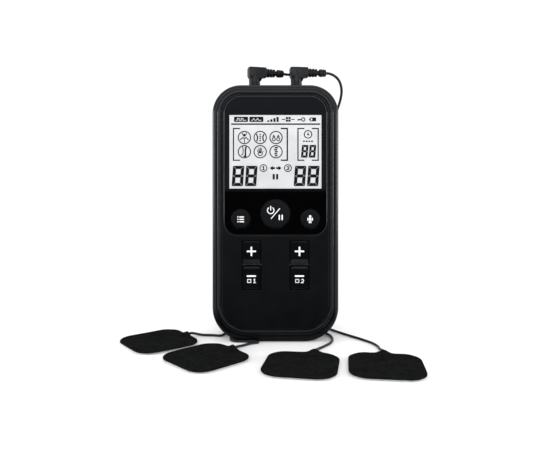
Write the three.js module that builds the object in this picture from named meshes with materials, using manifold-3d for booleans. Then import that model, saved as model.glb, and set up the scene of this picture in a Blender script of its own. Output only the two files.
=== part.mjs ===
// Two-channel nerve-stimulation (TENS) unit standing on its bottom end, with two
// right-angle lead plugs, two lead cords and four square electrode pads.
// Millimetres. +X is the unit's right as its user sees it, the face looks along -Y, +Z is up.
// The origin is on the flat bottom end, in the middle of the width, and the floor is z = 0.
import * as THREE from "three";
import { mergeVertices } from "three/addons/utils/BufferGeometryUtils.js";
import Module from "manifold-3d";

const wasm = await Module();
wasm.setup();

// ---------------------------------------------------------------- driving dimensions
const GAP = 0.3; // running clearance between neighbouring pieces
const CASE = {
  width: 66.4,
  height: 135,
  corner: 15,
  heelCorner: 18, // the two corners at the bottom end
  heel: 1.45, // the edges draw in this many times further at the bottom end
  front: -12,
  rear: 12,
  wall: 1.8,
  seam: 3, // the plane where the two shells meet
  cavityFront: -9.4,
  cavityRear: 10.4,
};
// Side profile of the front shell from its face outwards: [y, inset from the outline].
const BEZEL = [
  [-12, 5.3],
  [-11.1, 5.1],
  [-11.1, 4.75],
  [-11.7, 4.4],
  [-11.9, 3.7],
  [-11.6, 3.05],
  [-10.6, 2.75],
  [-10.6, 2.35],
  [-11, 2.05],
  [-10.6, 1.2],
  [-9.9, 0.5],
  [-8.8, 0],
];
// Side profile of the rear shell from the seam backwards.
const BACK = [
  [8.6, 0],
  [10.4, 0.6],
  [11.5, 1.7],
  [12, 3.2],
];
const PANEL = { halfWidth: 27, bottom: 56, top: 129.1, topCorner: 9.2, bottomCorner: 7 };
const PANEL_FRONT = -12.15;
const RECESS_FLOOR = -10.6; // bottom of the shallow recess that holds the panel
const LCD = { halfWidth: 24.1, bottom: 80.5, top: 119, front: -12, step: -9.1 };
const LCD_BACK = { halfWidth: 27.4, bottom: 77.2, top: 121.6, rear: -7.3 };
const KEY_TRAVEL = 0.8;
const KEY_FRONT = -13;
const FLANGE = { front: -9.1, rear: -8.5, lip: 0.9 };
const ROUND_KEYS = [
  { name: "key_power", x: 0, z: 67.5, radius: 7.6 },
  { name: "key_program", x: -18.05, z: 64.9, radius: 5 },
  { name: "key_body", x: 18.05, z: 64.9, radius: 5 },
];
const CHANNEL_KEYS = {
  x: 12.5,
  width: 9,
  up: [41.1, 53.1],
  down: [28.5, 40],
  slot: [27.6, 53.5],
  slotWidth: 10.6,
};
const BOARD = {
  front: -4.5,
  rear: -3.1,
  halfWidth: 28,
  bottom: 16,
  top: 118,
  tabHalfWidth: 17,
  tabTop: 129,
};
const JACK = { x: 11.4, y: 2, nose: 2.3, bore: 1.6, bottom: 118.4 };
const BAY = { halfWidth: 16.9, bottom: 20.8, top: 70.8, front: -0.4, wall: 1.2 };
const CELL = { radius: 5.2, length: 44.5, y: 5.1, pitch: 11, bottom: 24.5 };
const DOOR = { halfWidth: 18.3, bottom: 20.5, top: 71.5, front: 10.7, edge: 0.65 };
const DOOR_PIN = 0.6;
const GRIP = { halfWidth: 7, depth: 0.5, rows: [63, 65, 67] }; // finger grooves on the door
const BOSS = { x: 24.5, low: 11.5, high: 125.2, radius: 3.1 };
const SCREW = { head: 2.3, headHeight: 1.5, shank: 1, length: 13 };
const PLUG = {
  stem: 3.1,
  headLeft: -3.5,
  block: 5.9,
  grip: 11.4,
  neck: 12.4,
  bead: 16.6,
  underside: 140.6,
  top: 146.5,
};
const PLUG_TURN = [18, 9]; // degrees each plug is swivelled backwards about its stem
const LEAD_DIAMETER = 1.5;
const WIRE_DIAMETER = 1.3;
const LIFT = 0.1; // how far a cord's round section stays above the floor
const PAD = { side: 34.4, corner: 9, gel: 0.45, top: 1.35, ridgeLength: 15, ridge: 1.35, wireHeight: 1.7 };
const COIL = { x: 17, y: 56, midRadius: 8.7, bundle: 6.4 };
const CONNECTOR = { near: 6.5, far: 21, socket: 1.7, pin: 1.45, height: 1.75 };
const ROW = [17, 22]; // distance behind the origin of each channel's two connectors
const LANE = [1.1, 2.9]; // distance from the middle of each channel's two branch wires
const SPLITTER = { near: 8.5, far: 15, halfWidth: 1.9, height: 2.4 };
const SPLITTER_Y = COIL.y + COIL.midRadius + COIL.bundle / 2 + GAP + SPLITTER.halfWidth;

// ---------------------------------------------------------------- materials
const looks = {
  case_plastic: [0x1a1c20, 0.45, 0],
  gloss_panel: [0x020203, 0.08, 0],
  lcd: [0xd4d7d2, 0.25, 0],
  key_rubber: [0x1c1d20, 0.5, 0],
  board: [0x1f5a36, 0.5, 0],
  component: [0x141414, 0.5, 0],
  copper: [0xb06a3a, 0.35, 0.9],
  steel: [0xb9bcc0, 0.3, 1],
  cell_jacket: [0x2f6f8f, 0.35, 0.3],
  plug_rubber: [0x222326, 0.6, 0],
  wire: [0x0d0d0e, 0.5, 0],
  pad_fabric: [0x0c0d0e, 0.95, 0],
  gel: [0x9aa3a0, 0.2, 0],
};
const material = (look) => {
  const [color, roughness, metalness] = looks[look];
  return new THREE.MeshStandardMaterial({ color, roughness, metalness });
};

// ---------------------------------------------------------------- solids
function toSolid(geometry) {
  const bare = geometry.clone();
  bare.deleteAttribute("normal");
  bare.deleteAttribute("uv");
  const merged = mergeVertices(bare, 1e-5);
  return new wasm.Manifold(
    new wasm.Mesh({
      numProp: 3,
      vertProperties: new Float32Array(merged.attributes.position.array),
      triVerts: new Uint32Array(merged.index.array),
    }),
  );
}

function fromSolid(solid) {
  const mesh = solid.getMesh();
  const geometry = new THREE.BufferGeometry();
  geometry.setAttribute("position", new THREE.BufferAttribute(mesh.vertProperties, 3));
  geometry.setIndex(new THREE.BufferAttribute(mesh.triVerts, 1));
  geometry.computeVertexNormals();
  return geometry;
}

const join = (base, ...others) =>
  fromSolid(others.reduce((sum, other) => sum.add(toSolid(other)), toSolid(base)));
const cut = (base, ...tools) =>
  fromSolid(tools.reduce((rest, tool) => rest.subtract(toSolid(tool)), toSolid(base)));

// ---------------------------------------------------------------- basic shapes
const block = (x0, x1, y0, y1, z0, z1) =>
  new THREE.BoxGeometry(x1 - x0, y1 - y0, z1 - z0).translate((x0 + x1) / 2, (y0 + y1) / 2, (z0 + z1) / 2);

// A disc or pin along Y, from y0 to y1.
const discY = (radius, y0, y1, x, z, sides = 24) =>
  new THREE.CylinderGeometry(radius, radius, y1 - y0, sides).translate(x, (y0 + y1) / 2, z);

// A post along Z; radiusTop makes it a cone.
const postZ = (radius, z0, z1, x, y, sides = 20, radiusTop = radius) =>
  new THREE.CylinderGeometry(radiusTop, radius, z1 - z0, sides)
    .rotateX(Math.PI / 2)
    .translate(x, y, (z0 + z1) / 2);

// A bar along X from x0 to x1.
const barX = (radius, x0, x1, y, z, sides = 16, radiusEnd = radius) =>
  new THREE.CylinderGeometry(radiusEnd, radius, x1 - x0, sides)
    .rotateZ(-Math.PI / 2)
    .translate((x0 + x1) / 2, y, z);

// Points of a rectangle with rounded corners, counter-clockwise from the right-hand side.
function roundedOutline({ left, right, bottom, top, radii, steps }) {
  const corners = [
    [right, top, -1, -1, radii[0]],
    [left, top, 1, -1, radii[0]],
    [left, bottom, 1, 1, radii[1]],
    [right, bottom, -1, 1, radii[1]],
  ];
  return corners.flatMap(([x, z, inX, inZ, radius], quarter) =>
    Array.from({ length: steps + 1 }, (_, step) => {
      const angle = ((quarter + step / steps) * Math.PI) / 2;
      return [x + radius * (inX + Math.cos(angle)), z + radius * (inZ + Math.sin(angle))];
    }),
  );
}

// An outline drawn in X and Z, made solid from y0 to y1.
function slab(outline, y0, y1) {
  const shape = new THREE.Shape(outline.map(([x, z]) => new THREE.Vector2(x, z)));
  return new THREE.ExtrudeGeometry(shape, { depth: y1 - y0, bevelEnabled: false })
    .rotateX(Math.PI / 2)
    .translate(0, y1, 0);
}

const roundedSlab = (left, right, bottom, top, radius, y0, y1, steps = 4) =>
  slab(roundedOutline({ left, right, bottom, top, radii: [radius, radius], steps }), y0, y1);

// The case outline, moved inwards by inset.
const caseOutline = (inset) =>
  roundedOutline({
    left: -CASE.width / 2 + inset,
    right: CASE.width / 2 - inset,
    bottom: inset * CASE.heel,
    top: CASE.height - inset,
    radii: [CASE.corner - inset, CASE.heelCorner - inset],
    steps: 7,
  });

// A closed body through outlines of equal point counts: stations are [y, inset], front to rear.
function loft(stations, outlineAt) {
  const rings = stations.map(([y, inset]) => outlineAt(inset).map(([x, z]) => [x, y, z]));
  const count = rings[0].length;
  const positions = rings.flat(2);
  const faces = [];
  for (let ring = 0; ring < rings.length - 1; ring += 1) {
    for (let i = 0; i < count; i += 1) {
      const next = (i + 1) % count;
      const [a, b] = [ring * count + i, ring * count + next];
      faces.push(a, a + count, b, b, a + count, b + count);
    }
  }
  const last = (rings.length - 1) * count;
  for (let i = 1; i < count - 1; i += 1) {
    faces.push(0, i, i + 1, last, last + i + 1, last + i);
  }
  const geometry = new THREE.BufferGeometry();
  geometry.setAttribute("position", new THREE.Float32BufferAttribute(positions, 3));
  geometry.setIndex(faces);
  geometry.computeVertexNormals();
  return geometry;
}

// A cord: an eight-sided section swept along a smooth curve through the points.
function cord(points, diameter, steps) {
  const section = new THREE.Shape();
  for (let i = 0; i < 8; i += 1) {
    const angle = (i * Math.PI) / 4;
    const [x, y] = [(Math.cos(angle) * diameter) / 2, (Math.sin(angle) * diameter) / 2];
    if (i) section.lineTo(x, y);
    else section.moveTo(x, y);
  }
  const curve = new THREE.CatmullRomCurve3(points.map((p) => new THREE.Vector3(...p)), false, "centripetal");
  return new THREE.ExtrudeGeometry(section, { steps, bevelEnabled: false, extrudePath: curve });
}

const unit = new THREE.Group();
function piece(name, look, geometry, parent = unit) {
  const mesh = new THREE.Mesh(geometry, material(look));
  mesh.name = name;
  parent.add(mesh);
  return mesh;
}

// ---------------------------------------------------------------- case
const bossPlaces = [-BOSS.x, BOSS.x].flatMap((x) => [BOSS.low, BOSS.high].map((z) => [x, z]));
const sides = [-1, 1];
const panelOutline = (grow) =>
  roundedOutline({
    left: -PANEL.halfWidth - grow,
    right: PANEL.halfWidth + grow,
    bottom: PANEL.bottom - grow,
    top: PANEL.top + grow,
    radii: [PANEL.topCorner + grow, PANEL.bottomCorner + grow],
    steps: 6,
  });
const lcdBlock = (grow, y0, y1) =>
  block(-LCD.halfWidth - grow, LCD.halfWidth + grow, y0, y1, LCD.bottom - grow, LCD.top + grow);
const channelSlot = (side) =>
  roundedSlab(
    side * CHANNEL_KEYS.x - CHANNEL_KEYS.slotWidth / 2,
    side * CHANNEL_KEYS.x + CHANNEL_KEYS.slotWidth / 2,
    CHANNEL_KEYS.slot[0],
    CHANNEL_KEYS.slot[1],
    1,
    CASE.front - 1,
    CASE.cavityFront + 1,
    2,
  );
const jackHoles = (z0, z1) =>
  sides.map((side) => postZ(JACK.nose + GAP, z0, z1, side * JACK.x, JACK.y, 16));

function frontShell() {
  const edge = CASE.seam - GAP / 2;
  const outside = loft([...BEZEL, [edge, 0]], caseOutline);
  const cavity = loft(
    [
      [CASE.cavityFront, CASE.wall + 1],
      [CASE.cavityFront + 1, CASE.wall],
      [edge + 1, CASE.wall],
    ],
    caseOutline,
  );
  const lcdOpening = lcdBlock(GAP, CASE.front - 1, CASE.cavityFront + 1);
  const hollow = cut(
    outside,
    cavity,
    slab(panelOutline(GAP), CASE.front - 1, RECESS_FLOOR),
    lcdOpening,
    ...ROUND_KEYS.map((key) => discY(key.radius + GAP, CASE.front, CASE.cavityFront + 1, key.x, key.z)),
    ...sides.map(channelSlot),
    ...jackHoles(CASE.height - 4, CASE.height + 1),
  );
  const bosses = bossPlaces.map(([x, z]) => discY(BOSS.radius, CASE.cavityFront - 0.5, edge, x, z, 12));
  const pilots = bossPlaces.map(([x, z]) =>
    discY(SCREW.shank + GAP, CASE.cavityFront + 3, edge + 1, x, z, 10),
  );
  return cut(join(hollow, ...bosses), ...pilots);
}

function rearShell() {
  const edge = CASE.seam + GAP / 2;
  const outside = loft([[edge, 0], ...BACK], caseOutline);
  const cavity = loft(
    [
      [edge - 1, CASE.wall],
      [CASE.cavityRear - 1.4, CASE.wall],
      [CASE.cavityRear, CASE.wall + 1.6],
    ],
    caseOutline,
  );
  const outer = BAY.halfWidth + BAY.wall;
  const bayBox = block(
    -outer,
    outer,
    BAY.front - BAY.wall,
    CASE.cavityRear + 0.4,
    BAY.bottom - BAY.wall,
    BAY.top + BAY.wall,
  );
  const bayInside = block(-BAY.halfWidth, BAY.halfWidth, BAY.front, CASE.rear + 1, BAY.bottom, BAY.top);
  const doorway = block(
    -DOOR.halfWidth - GAP,
    DOOR.halfWidth + GAP,
    DOOR.front - GAP,
    CASE.rear + 1,
    DOOR.bottom - GAP,
    DOOR.top + GAP,
  );
  const pinHole = barX(
    DOOR_PIN + GAP,
    -DOOR.halfWidth - 1.4,
    DOOR.halfWidth + 1.4,
    DOOR.front + DOOR.edge,
    DOOR.bottom + DOOR.edge,
    12,
  );
  const bosses = bossPlaces.map(([x, z]) => discY(BOSS.radius, edge, CASE.cavityRear + 0.5, x, z, 12));
  const shanks = bossPlaces.map(([x, z]) => discY(SCREW.shank + GAP, edge - 1, CASE.rear, x, z, 10));
  const heads = bossPlaces.map(([x, z]) => discY(SCREW.head + GAP, CASE.rear - 3, CASE.rear + 1, x, z, 16));
  const body = join(cut(outside, cavity), bayBox, ...bosses);
  return cut(
    body,
    bayInside,
    doorway,
    pinHole,
    ...jackHoles(CASE.height - 4, CASE.height + 1),
    ...shanks,
    ...heads,
  );
}

function batteryDoor() {
  const hingeY = DOOR.front + DOOR.edge;
  const hingeZ = DOOR.bottom + DOOR.edge;
  const plate = roundedSlab(
    -DOOR.halfWidth,
    DOOR.halfWidth,
    hingeZ,
    DOOR.top,
    0.4,
    DOOR.front,
    CASE.rear,
    2,
  );
  const foot = barX(DOOR.edge, -DOOR.halfWidth, DOOR.halfWidth, hingeY, hingeZ, 16);
  const pins = barX(DOOR_PIN, -DOOR.halfWidth - 1, DOOR.halfWidth + 1, hingeY, hingeZ, 12);
  const grips = GRIP.rows.map((z) =>
    block(-GRIP.halfWidth, GRIP.halfWidth, CASE.rear - GRIP.depth, CASE.rear + 1, z, z + 1),
  );
  return cut(join(plate, foot, pins), ...grips);
}

function caseScrew(x, z) {
  const headRear = CASE.rear - 3 + GAP + SCREW.headHeight;
  const seat = headRear - SCREW.headHeight;
  const head = discY(SCREW.head, seat, headRear, x, z, 16);
  const shank = discY(SCREW.shank, seat - SCREW.length, seat + 0.5, x, z, 10);
  const slots = [
    block(x - 1.4, x + 1.4, headRear - 0.8, headRear + 1, z - 0.3, z + 0.3),
    block(x - 0.3, x + 0.3, headRear - 0.8, headRear + 1, z - 1.4, z + 1.4),
  ];
  return cut(join(head, shank), ...slots);
}

piece("front_shell", "case_plastic", frontShell());
piece("rear_shell", "case_plastic", rearShell());
piece("battery_door", "case_plastic", batteryDoor());
bossPlaces.forEach(([x, z], i) => piece(`case_screw_${i + 1}`, "steel", caseScrew(x, z)));

// ---------------------------------------------------------------- display and keys
function displayWindow() {
  const sheet = slab(panelOutline(0), PANEL_FRONT, RECESS_FLOOR - GAP / 3);
  return cut(
    sheet,
    lcdBlock(0, CASE.front - 1, CASE.cavityFront),
    ...ROUND_KEYS.map((key) => discY(key.radius + GAP, CASE.front - 1, CASE.cavityFront, key.x, key.z)),
  );
}

function roundKey({ x, z, radius }) {
  const cap = discY(radius, KEY_FRONT + 0.35, FLANGE.rear, x, z);
  const crown = new THREE.CylinderGeometry(radius, radius - 0.5, 0.36, 24);
  crown.translate(x, KEY_FRONT + 0.18, z);
  const flange = discY(radius + FLANGE.lip, FLANGE.front, FLANGE.rear, x, z, 24);
  return join(cap, crown, flange);
}

function channelKey(side, [bottom, top], chamfer) {
  const x0 = side * CHANNEL_KEYS.x - CHANNEL_KEYS.width / 2;
  const x1 = side * CHANNEL_KEYS.x + CHANNEL_KEYS.width / 2;
  const cap = roundedSlab(x0, x1, bottom, top, 0.8, KEY_FRONT + 0.1, FLANGE.rear, 3);
  const flangeBottom = chamfer > 0 ? bottom - GAP / 2 : bottom - FLANGE.lip - 0.6;
  const flangeTop = chamfer > 0 ? top + FLANGE.lip + 0.2 : top + GAP / 2;
  const flange = block(x0 - 1.5, x1 + 1.5, FLANGE.front, FLANGE.rear, flangeBottom, flangeTop);
  const slope = Math.atan2(1.1, Math.abs(chamfer));
  const wedge = block(x0 - 1, x1 + 1, -2, 0, -6, 6);
  const edgeZ = chamfer > 0 ? bottom + chamfer : top + chamfer;
  wedge.rotateX(Math.sign(chamfer) * slope).translate(0, KEY_FRONT + 0.1, edgeZ);
  return cut(join(cap, flange), wedge);
}

function membrane() {
  const sheet = roundedSlab(-27, 27, 19, 75.6, 3, FLANGE.rear + KEY_TRAVEL + 0.2, -6.9, 3);
  const plungers = [
    ...ROUND_KEYS.map((key) => [key.x, key.z]),
    ...sides.flatMap((side) =>
      [CHANNEL_KEYS.up, CHANNEL_KEYS.down].map((span) => [side * CHANNEL_KEYS.x, (span[0] + span[1]) / 2]),
    ),
  ];
  return join(sheet, ...plungers.map(([x, z]) => discY(2, -7.2, BOARD.front - KEY_TRAVEL - 0.2, x, z, 10)));
}

// The display: its front glass fills the panel's window and its wider rear glass sits behind.
function lcdGlass() {
  const rear = block(
    -LCD_BACK.halfWidth,
    LCD_BACK.halfWidth,
    LCD.step,
    LCD_BACK.rear,
    LCD_BACK.bottom,
    LCD_BACK.top,
  );
  return join(lcdBlock(-0.1, LCD.front, LCD.step + 0.5), rear);
}

piece("display_window", "gloss_panel", displayWindow());
piece("lcd_glass", "lcd", lcdGlass());
piece("lcd_backlight", "lcd", block(-26.4, 26.4, -7, -4.8, 77.8, 121));
ROUND_KEYS.forEach((key) => piece(key.name, "key_rubber", roundKey(key)));
sides.forEach((side, i) => {
  piece(`key_ch${i + 1}_up`, "key_rubber", channelKey(side, CHANNEL_KEYS.up, 2.6));
  piece(`key_ch${i + 1}_down`, "key_rubber", channelKey(side, CHANNEL_KEYS.down, -1));
});
piece("keypad_membrane", "key_rubber", membrane());

// ---------------------------------------------------------------- electronics
function circuitBoard() {
  const main = block(-BOARD.halfWidth, BOARD.halfWidth, BOARD.front, BOARD.rear, BOARD.bottom, BOARD.top);
  const tab = block(
    -BOARD.tabHalfWidth,
    BOARD.tabHalfWidth,
    BOARD.front,
    BOARD.rear,
    BOARD.top - 1,
    BOARD.tabTop,
  );
  return join(main, tab);
}

function transformer(x) {
  const rear = BOARD.rear + GAP;
  const core = block(x - 6.5, x + 6.5, rear + 2, rear + 9, 82, 85.5);
  const coreTop = block(x - 6.5, x + 6.5, rear + 2, rear + 9, 92.5, 96);
  const bobbin = block(x - 5.5, x + 5.5, rear, rear + 11, 84.5, 93.5);
  return join(bobbin, core, coreTop);
}

function jackSocket(x) {
  const body = block(x - 5, x + 5, BOARD.rear + GAP, 7, JACK.bottom, CASE.height - CASE.wall - GAP);
  const nose = postZ(JACK.nose, CASE.height - CASE.wall - 1, CASE.height, x, JACK.y, 16);
  const bore = postZ(JACK.bore, CASE.height - 12.5, CASE.height + 1, x, JACK.y, 16);
  return cut(join(body, nose), bore);
}

piece("circuit_board", "board", circuitBoard());
piece("microcontroller", "component", block(-5, 5, BOARD.rear + GAP, BOARD.rear + 1.8, 100, 110));
sides.forEach((side, i) => piece(`output_transformer_${i + 1}`, "copper", transformer(side * 15)));
piece("capacitor", "component", discY(3.2, BOARD.rear + GAP, BOARD.rear + 8, 0, 90, 16));
piece("buzzer", "component", discY(5.5, BOARD.rear + GAP, BOARD.rear + 5, 0, 80.5, 20));
sides.forEach((side, i) => piece(`jack_socket_${i + 1}`, "component", jackSocket(side * JACK.x)));

// ---------------------------------------------------------------- batteries
const cellPlaces = [-CELL.pitch, 0, CELL.pitch];
const contactPlate = (z0, z1) =>
  block(-BAY.halfWidth + GAP, BAY.halfWidth - GAP, BAY.front + GAP, DOOR.front - 1, z0, z1);

function batteryCell(x) {
  const top = CELL.bottom + CELL.length;
  const can = postZ(CELL.radius, CELL.bottom, top - 0.9, x, CELL.y, 20);
  return join(can, postZ(1.9, top - 1, top, x, CELL.y, 12));
}

function topContacts() {
  const plateZ = BAY.top - GAP - 0.4;
  const buttons = cellPlaces.map((x) =>
    postZ(2.2, CELL.bottom + CELL.length + GAP, plateZ + 0.1, x, CELL.y, 12, 2.6),
  );
  return join(contactPlate(plateZ, plateZ + 0.4), ...buttons);
}

function bottomContacts() {
  const plateZ = BAY.bottom + GAP;
  const springs = cellPlaces.map((x) => postZ(3.4, plateZ + 0.3, CELL.bottom - GAP, x, CELL.y, 12, 2.2));
  return join(contactPlate(plateZ, plateZ + 0.4), ...springs);
}

cellPlaces.forEach((x, i) => piece(`battery_cell_${i + 1}`, "cell_jacket", batteryCell(x)));
piece("battery_contacts_top", "steel", topContacts());
piece("battery_contacts_bottom", "steel", bottomContacts());

// ---------------------------------------------------------------- lead plugs
// A right-angle plug drawn with its stem on the Z axis and its lead leaving along +X.
function plug() {
  const middle = (PLUG.underside + PLUG.top) / 2;
  const stem = postZ(PLUG.stem, CASE.height + GAP, PLUG.top - 0.5, 0, 0, 20);
  const head = roundedSlab(PLUG.headLeft, PLUG.block, PLUG.underside, PLUG.top, 0.9, -2.9, 2.9, 3);
  const grip = barX(2.55, PLUG.block - 1, PLUG.grip, 0, middle, 14, 2.2);
  const neck = barX(1.2, PLUG.grip - 1, PLUG.neck + 1, 0, middle, 10);
  const bead = barX(2.05, PLUG.neck, PLUG.bead, 0, middle, 14, 1.7);
  const pin = postZ(1.25, CASE.height - 11.5, CASE.height + 1, 0, 0, 12);
  return join(stem, head, grip, neck, bead, pin);
}

sides.forEach((side, i) => {
  const holder = new THREE.Group();
  holder.position.set(side * JACK.x, JACK.y, 0);
  holder.rotation.z = THREE.MathUtils.degToRad(PLUG_TURN[i]);
  unit.add(holder);
  piece(`lead_plug_${i + 1}`, "plug_rubber", plug(), holder);
});

// Where a lead leaves its plug, and a point further along the same line.
function plugExit(channel, beyond) {
  const angle = THREE.MathUtils.degToRad(PLUG_TURN[channel]);
  const reach = PLUG.bead + GAP + beyond;
  const side = sides[channel];
  return [
    side * JACK.x + reach * Math.cos(angle),
    JACK.y + reach * Math.sin(angle),
    (PLUG.underside + PLUG.top) / 2 - beyond * 0.1,
  ];
}

// ---------------------------------------------------------------- lead cords
// The uncoiled stretch behind the case, from the plug down to its coil.
const coilSide = COIL.x + COIL.midRadius + COIL.bundle / 2 + GAP + LEAD_DIAMETER / 2;
const leadRest = LEAD_DIAMETER / 2 + LIFT;
const leadEnd = (side) => [
  [side * 26.3, 16.4, 40],
  [side * 26.8, 19.4, 26],
  [side * 27.6, 24.2, 14.5],
  [side * 28.6, 30.5, 6.6],
  [side * 29.4, 37, 2.4],
  [side * (coilSide - 0.3), 43, leadRest + 0.1],
  [side * coilSide, 49, leadRest],
  [side * coilSide, COIL.y, leadRest],
];
const leadRoutes = [
  [
    plugExit(0, 0),
    plugExit(0, 1.6),
    [9, 8.8, 143.2],
    [10.6, 11, 141.6],
    [10.9, 13.4, 139],
    [9.8, 15.6, 135.4],
    [6.7, 17.2, 130],
    [1.6, 18.1, 123],
    [-4.6, 18.2, 114],
    [-11, 17.8, 103.5],
    [-16.8, 17, 91.5],
    [-21.4, 16.2, 78],
    [-24.6, 15.7, 65],
    [-26, 15.6, 52.5],
    ...leadEnd(-1),
  ],
  [
    plugExit(1, 0),
    plugExit(1, 1.6),
    [32.4, 6, 142.5],
    [35, 7.2, 140.4],
    [36.5, 8.8, 137.6],
    [37.1, 10.4, 134.2],
    [36.7, 12.2, 130.2],
    [35.4, 13.8, 125.5],
    [33.3, 14.9, 119],
    [30.8, 15.3, 109],
    [28.2, 15.4, 95],
    [26.6, 15.4, 80],
    [26, 15.4, 65],
    [26, 15.6, 52.5],
    ...leadEnd(1),
  ],
];

function coil(side) {
  const half = COIL.bundle / 2;
  const [inner, outer] = [COIL.midRadius - half, COIL.midRadius + half];
  const corner = 1.4;
  const profile = [
    [inner + corner, 0],
    [outer - corner, 0],
    [outer, corner],
    [outer, COIL.bundle - corner],
    [outer - corner, COIL.bundle],
    [inner + corner, COIL.bundle],
    [inner, COIL.bundle - corner],
    [inner, corner],
    [inner + corner, 0],
  ];
  return new THREE.LatheGeometry(profile.map(([r, z]) => new THREE.Vector2(r, z)), 24)
    .rotateX(Math.PI / 2)
    .translate(side * COIL.x, COIL.y, 0);
}

function splitter(side) {
  const [x0, x1] = [SPLITTER.near, SPLITTER.far].map((x) => side * x).sort((a, b) => a - b);
  const outline = [
    [x0 + 0.8, SPLITTER_Y - SPLITTER.halfWidth],
    [x1 - 0.8, SPLITTER_Y - SPLITTER.halfWidth],
    [x1, SPLITTER_Y - SPLITTER.halfWidth + 0.8],
    [x1, SPLITTER_Y + SPLITTER.halfWidth - 0.8],
    [x1 - 0.8, SPLITTER_Y + SPLITTER.halfWidth],
    [x0 + 0.8, SPLITTER_Y + SPLITTER.halfWidth],
    [x0, SPLITTER_Y + SPLITTER.halfWidth - 0.8],
    [x0, SPLITTER_Y - SPLITTER.halfWidth + 0.8],
  ];
  const shape = new THREE.Shape(outline.map(([x, y]) => new THREE.Vector2(x, y)));
  return new THREE.ExtrudeGeometry(shape, { depth: SPLITTER.height, bevelEnabled: false });
}

// A branch wire: splitter, down the lane between the coils, round into its connector.
function branchRoute(side, row) {
  const z = WIRE_DIAMETER / 2 + LIFT;
  const lane = LANE[row];
  const turnX = 5.6;
  const rearTurn = turnX - lane;
  const start = SPLITTER_Y + (row ? -0.95 : 0.95);
  const rearCentre = start - rearTurn;
  const frontCentre = ROW[row] + rearTurn;
  const arc = (centreY, from, to, rise) =>
    [0, 1, 2, 3, 4].map((step) => {
      const angle = THREE.MathUtils.degToRad(from + ((to - from) * step) / 4);
      const height = z + rise * (step / 4) ** 2;
      return [side * (turnX - rearTurn * Math.cos(angle)), centreY + rearTurn * Math.sin(angle), height];
    });
  return [
    [side * (SPLITTER.near - GAP), start, z + 0.2],
    ...arc(rearCentre, 90, 0, 0),
    [side * lane, (rearCentre + frontCentre) / 2, z],
    ...arc(frontCentre, 0, -90, CONNECTOR.height - z),
    [side * (CONNECTOR.near - GAP), ROW[row], CONNECTOR.height],
  ];
}

// A pin pushed into its socket: the thin end faces the middle, the pad's wire meets the other.
function connector(side, row) {
  const span = (from, to) => (side > 0 ? [from, to] : [-to, -from]);
  const joint = (CONNECTOR.near + CONNECTOR.far) / 2;
  const pin = barX(CONNECTOR.pin, ...span(CONNECTOR.near, joint + 0.5), ROW[row], CONNECTOR.height, 12);
  const socket = barX(CONNECTOR.socket, ...span(joint, CONNECTOR.far), ROW[row], CONNECTOR.height, 12);
  return join(pin, socket);
}

sides.forEach((side, channel) => {
  const number = channel + 1;
  piece(`lead_cord_${number}`, "wire", cord(leadRoutes[channel], LEAD_DIAMETER, 46));
  piece(`lead_coil_${number}`, "wire", coil(side));
  piece(`lead_splitter_${number}`, "plug_rubber", splitter(side));
  [0, 1].forEach((row) => {
    piece(`branch_wire_${number}${"ab"[row]}`, "wire", cord(branchRoute(side, row), WIRE_DIAMETER, 16));
    piece(`pad_connector_${number}${"ab"[row]}`, "plug_rubber", connector(side, row));
  });
});

// ---------------------------------------------------------------- electrode pads
// Each pad: its centre, how far it is turned, which connector row its wire goes to and the
// wire's route from the pad's edge to the connector.
const wireRest = WIRE_DIAMETER / 2 + LIFT;
const intoConnector = (side, row) => [
  [side * (CONNECTOR.far + 1.4), ROW[row], 1.5],
  [side * (CONNECTOR.far + GAP), ROW[row], CONNECTOR.height],
];
const pads = [
  {
    centre: [-61.05, -11.3],
    turn: -53,
    wire: [
      [-39.9, 0.2, wireRest + 0.1],
      [-33.9, -0.3, wireRest],
      [-29.7, -0.9, wireRest],
      [-27.9, 2, wireRest],
      [-27.4, 6, wireRest],
      [-27.7, 13, wireRest],
      [-28.5, 20, wireRest],
      [-28.5, 24.6, wireRest],
      [-27.8, 27.6, wireRest],
      [-25.8, 28.7, wireRest],
      [-23.9, 27, wireRest],
      [-23.7, 24.4, wireRest + 0.2],
      ...intoConnector(-1, 1),
    ],
  },
  {
    centre: [-33.2, -37.1],
    turn: -46.5,
    wire: [
      [-16.9, -19.2, wireRest + 0.1],
      [-12.5, -14.9, wireRest],
      [-9, -13.1, wireRest],
      [-9.6, -11.8, wireRest],
      [-11.8, -11.35, wireRest],
      [-15, -11.3, wireRest],
      [-18.6, -11.25, wireRest],
      [-21.5, -10.7, wireRest],
      [-23.3, -9, wireRest],
      [-23.9, -6, wireRest],
      [-23.9, 0, wireRest],
      [-24, 8, wireRest],
      [-24.3, 13.6, wireRest],
      ...intoConnector(-1, 0),
    ],
  },
  {
    centre: [11.75, -47.8],
    turn: -9.7,
    wireOffset: 4.5,
    wire: [
      [21.2, -24.5, wireRest],
      [24.6, -20.2, wireRest],
      [28.4, -14.4, wireRest],
      [29.9, -9.6, wireRest],
      [30.2, -5.2, wireRest],
      [29.6, -0.9, wireRest],
      [27.2, 4.5, wireRest],
      [25.8, 9.4, wireRest],
      [24.9, 13.6, wireRest],
      ...intoConnector(1, 0),
    ],
  },
  {
    centre: [50.5, -49.4],
    turn: -6.9,
    wire: [
      [52.2, -24.5, wireRest + 0.1],
      [51.9, -19.7, wireRest],
      [50, -14.4, wireRest],
      [45.9, -8.4, wireRest],
      [41.3, -2.7, wireRest],
      [37.1, 2.5, wireRest],
      [33.6, 7.3, wireRest],
      [30.2, 12.4, wireRest],
      [27.2, 18.2, wireRest],
      ...intoConnector(1, 1),
    ],
  },
];

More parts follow.
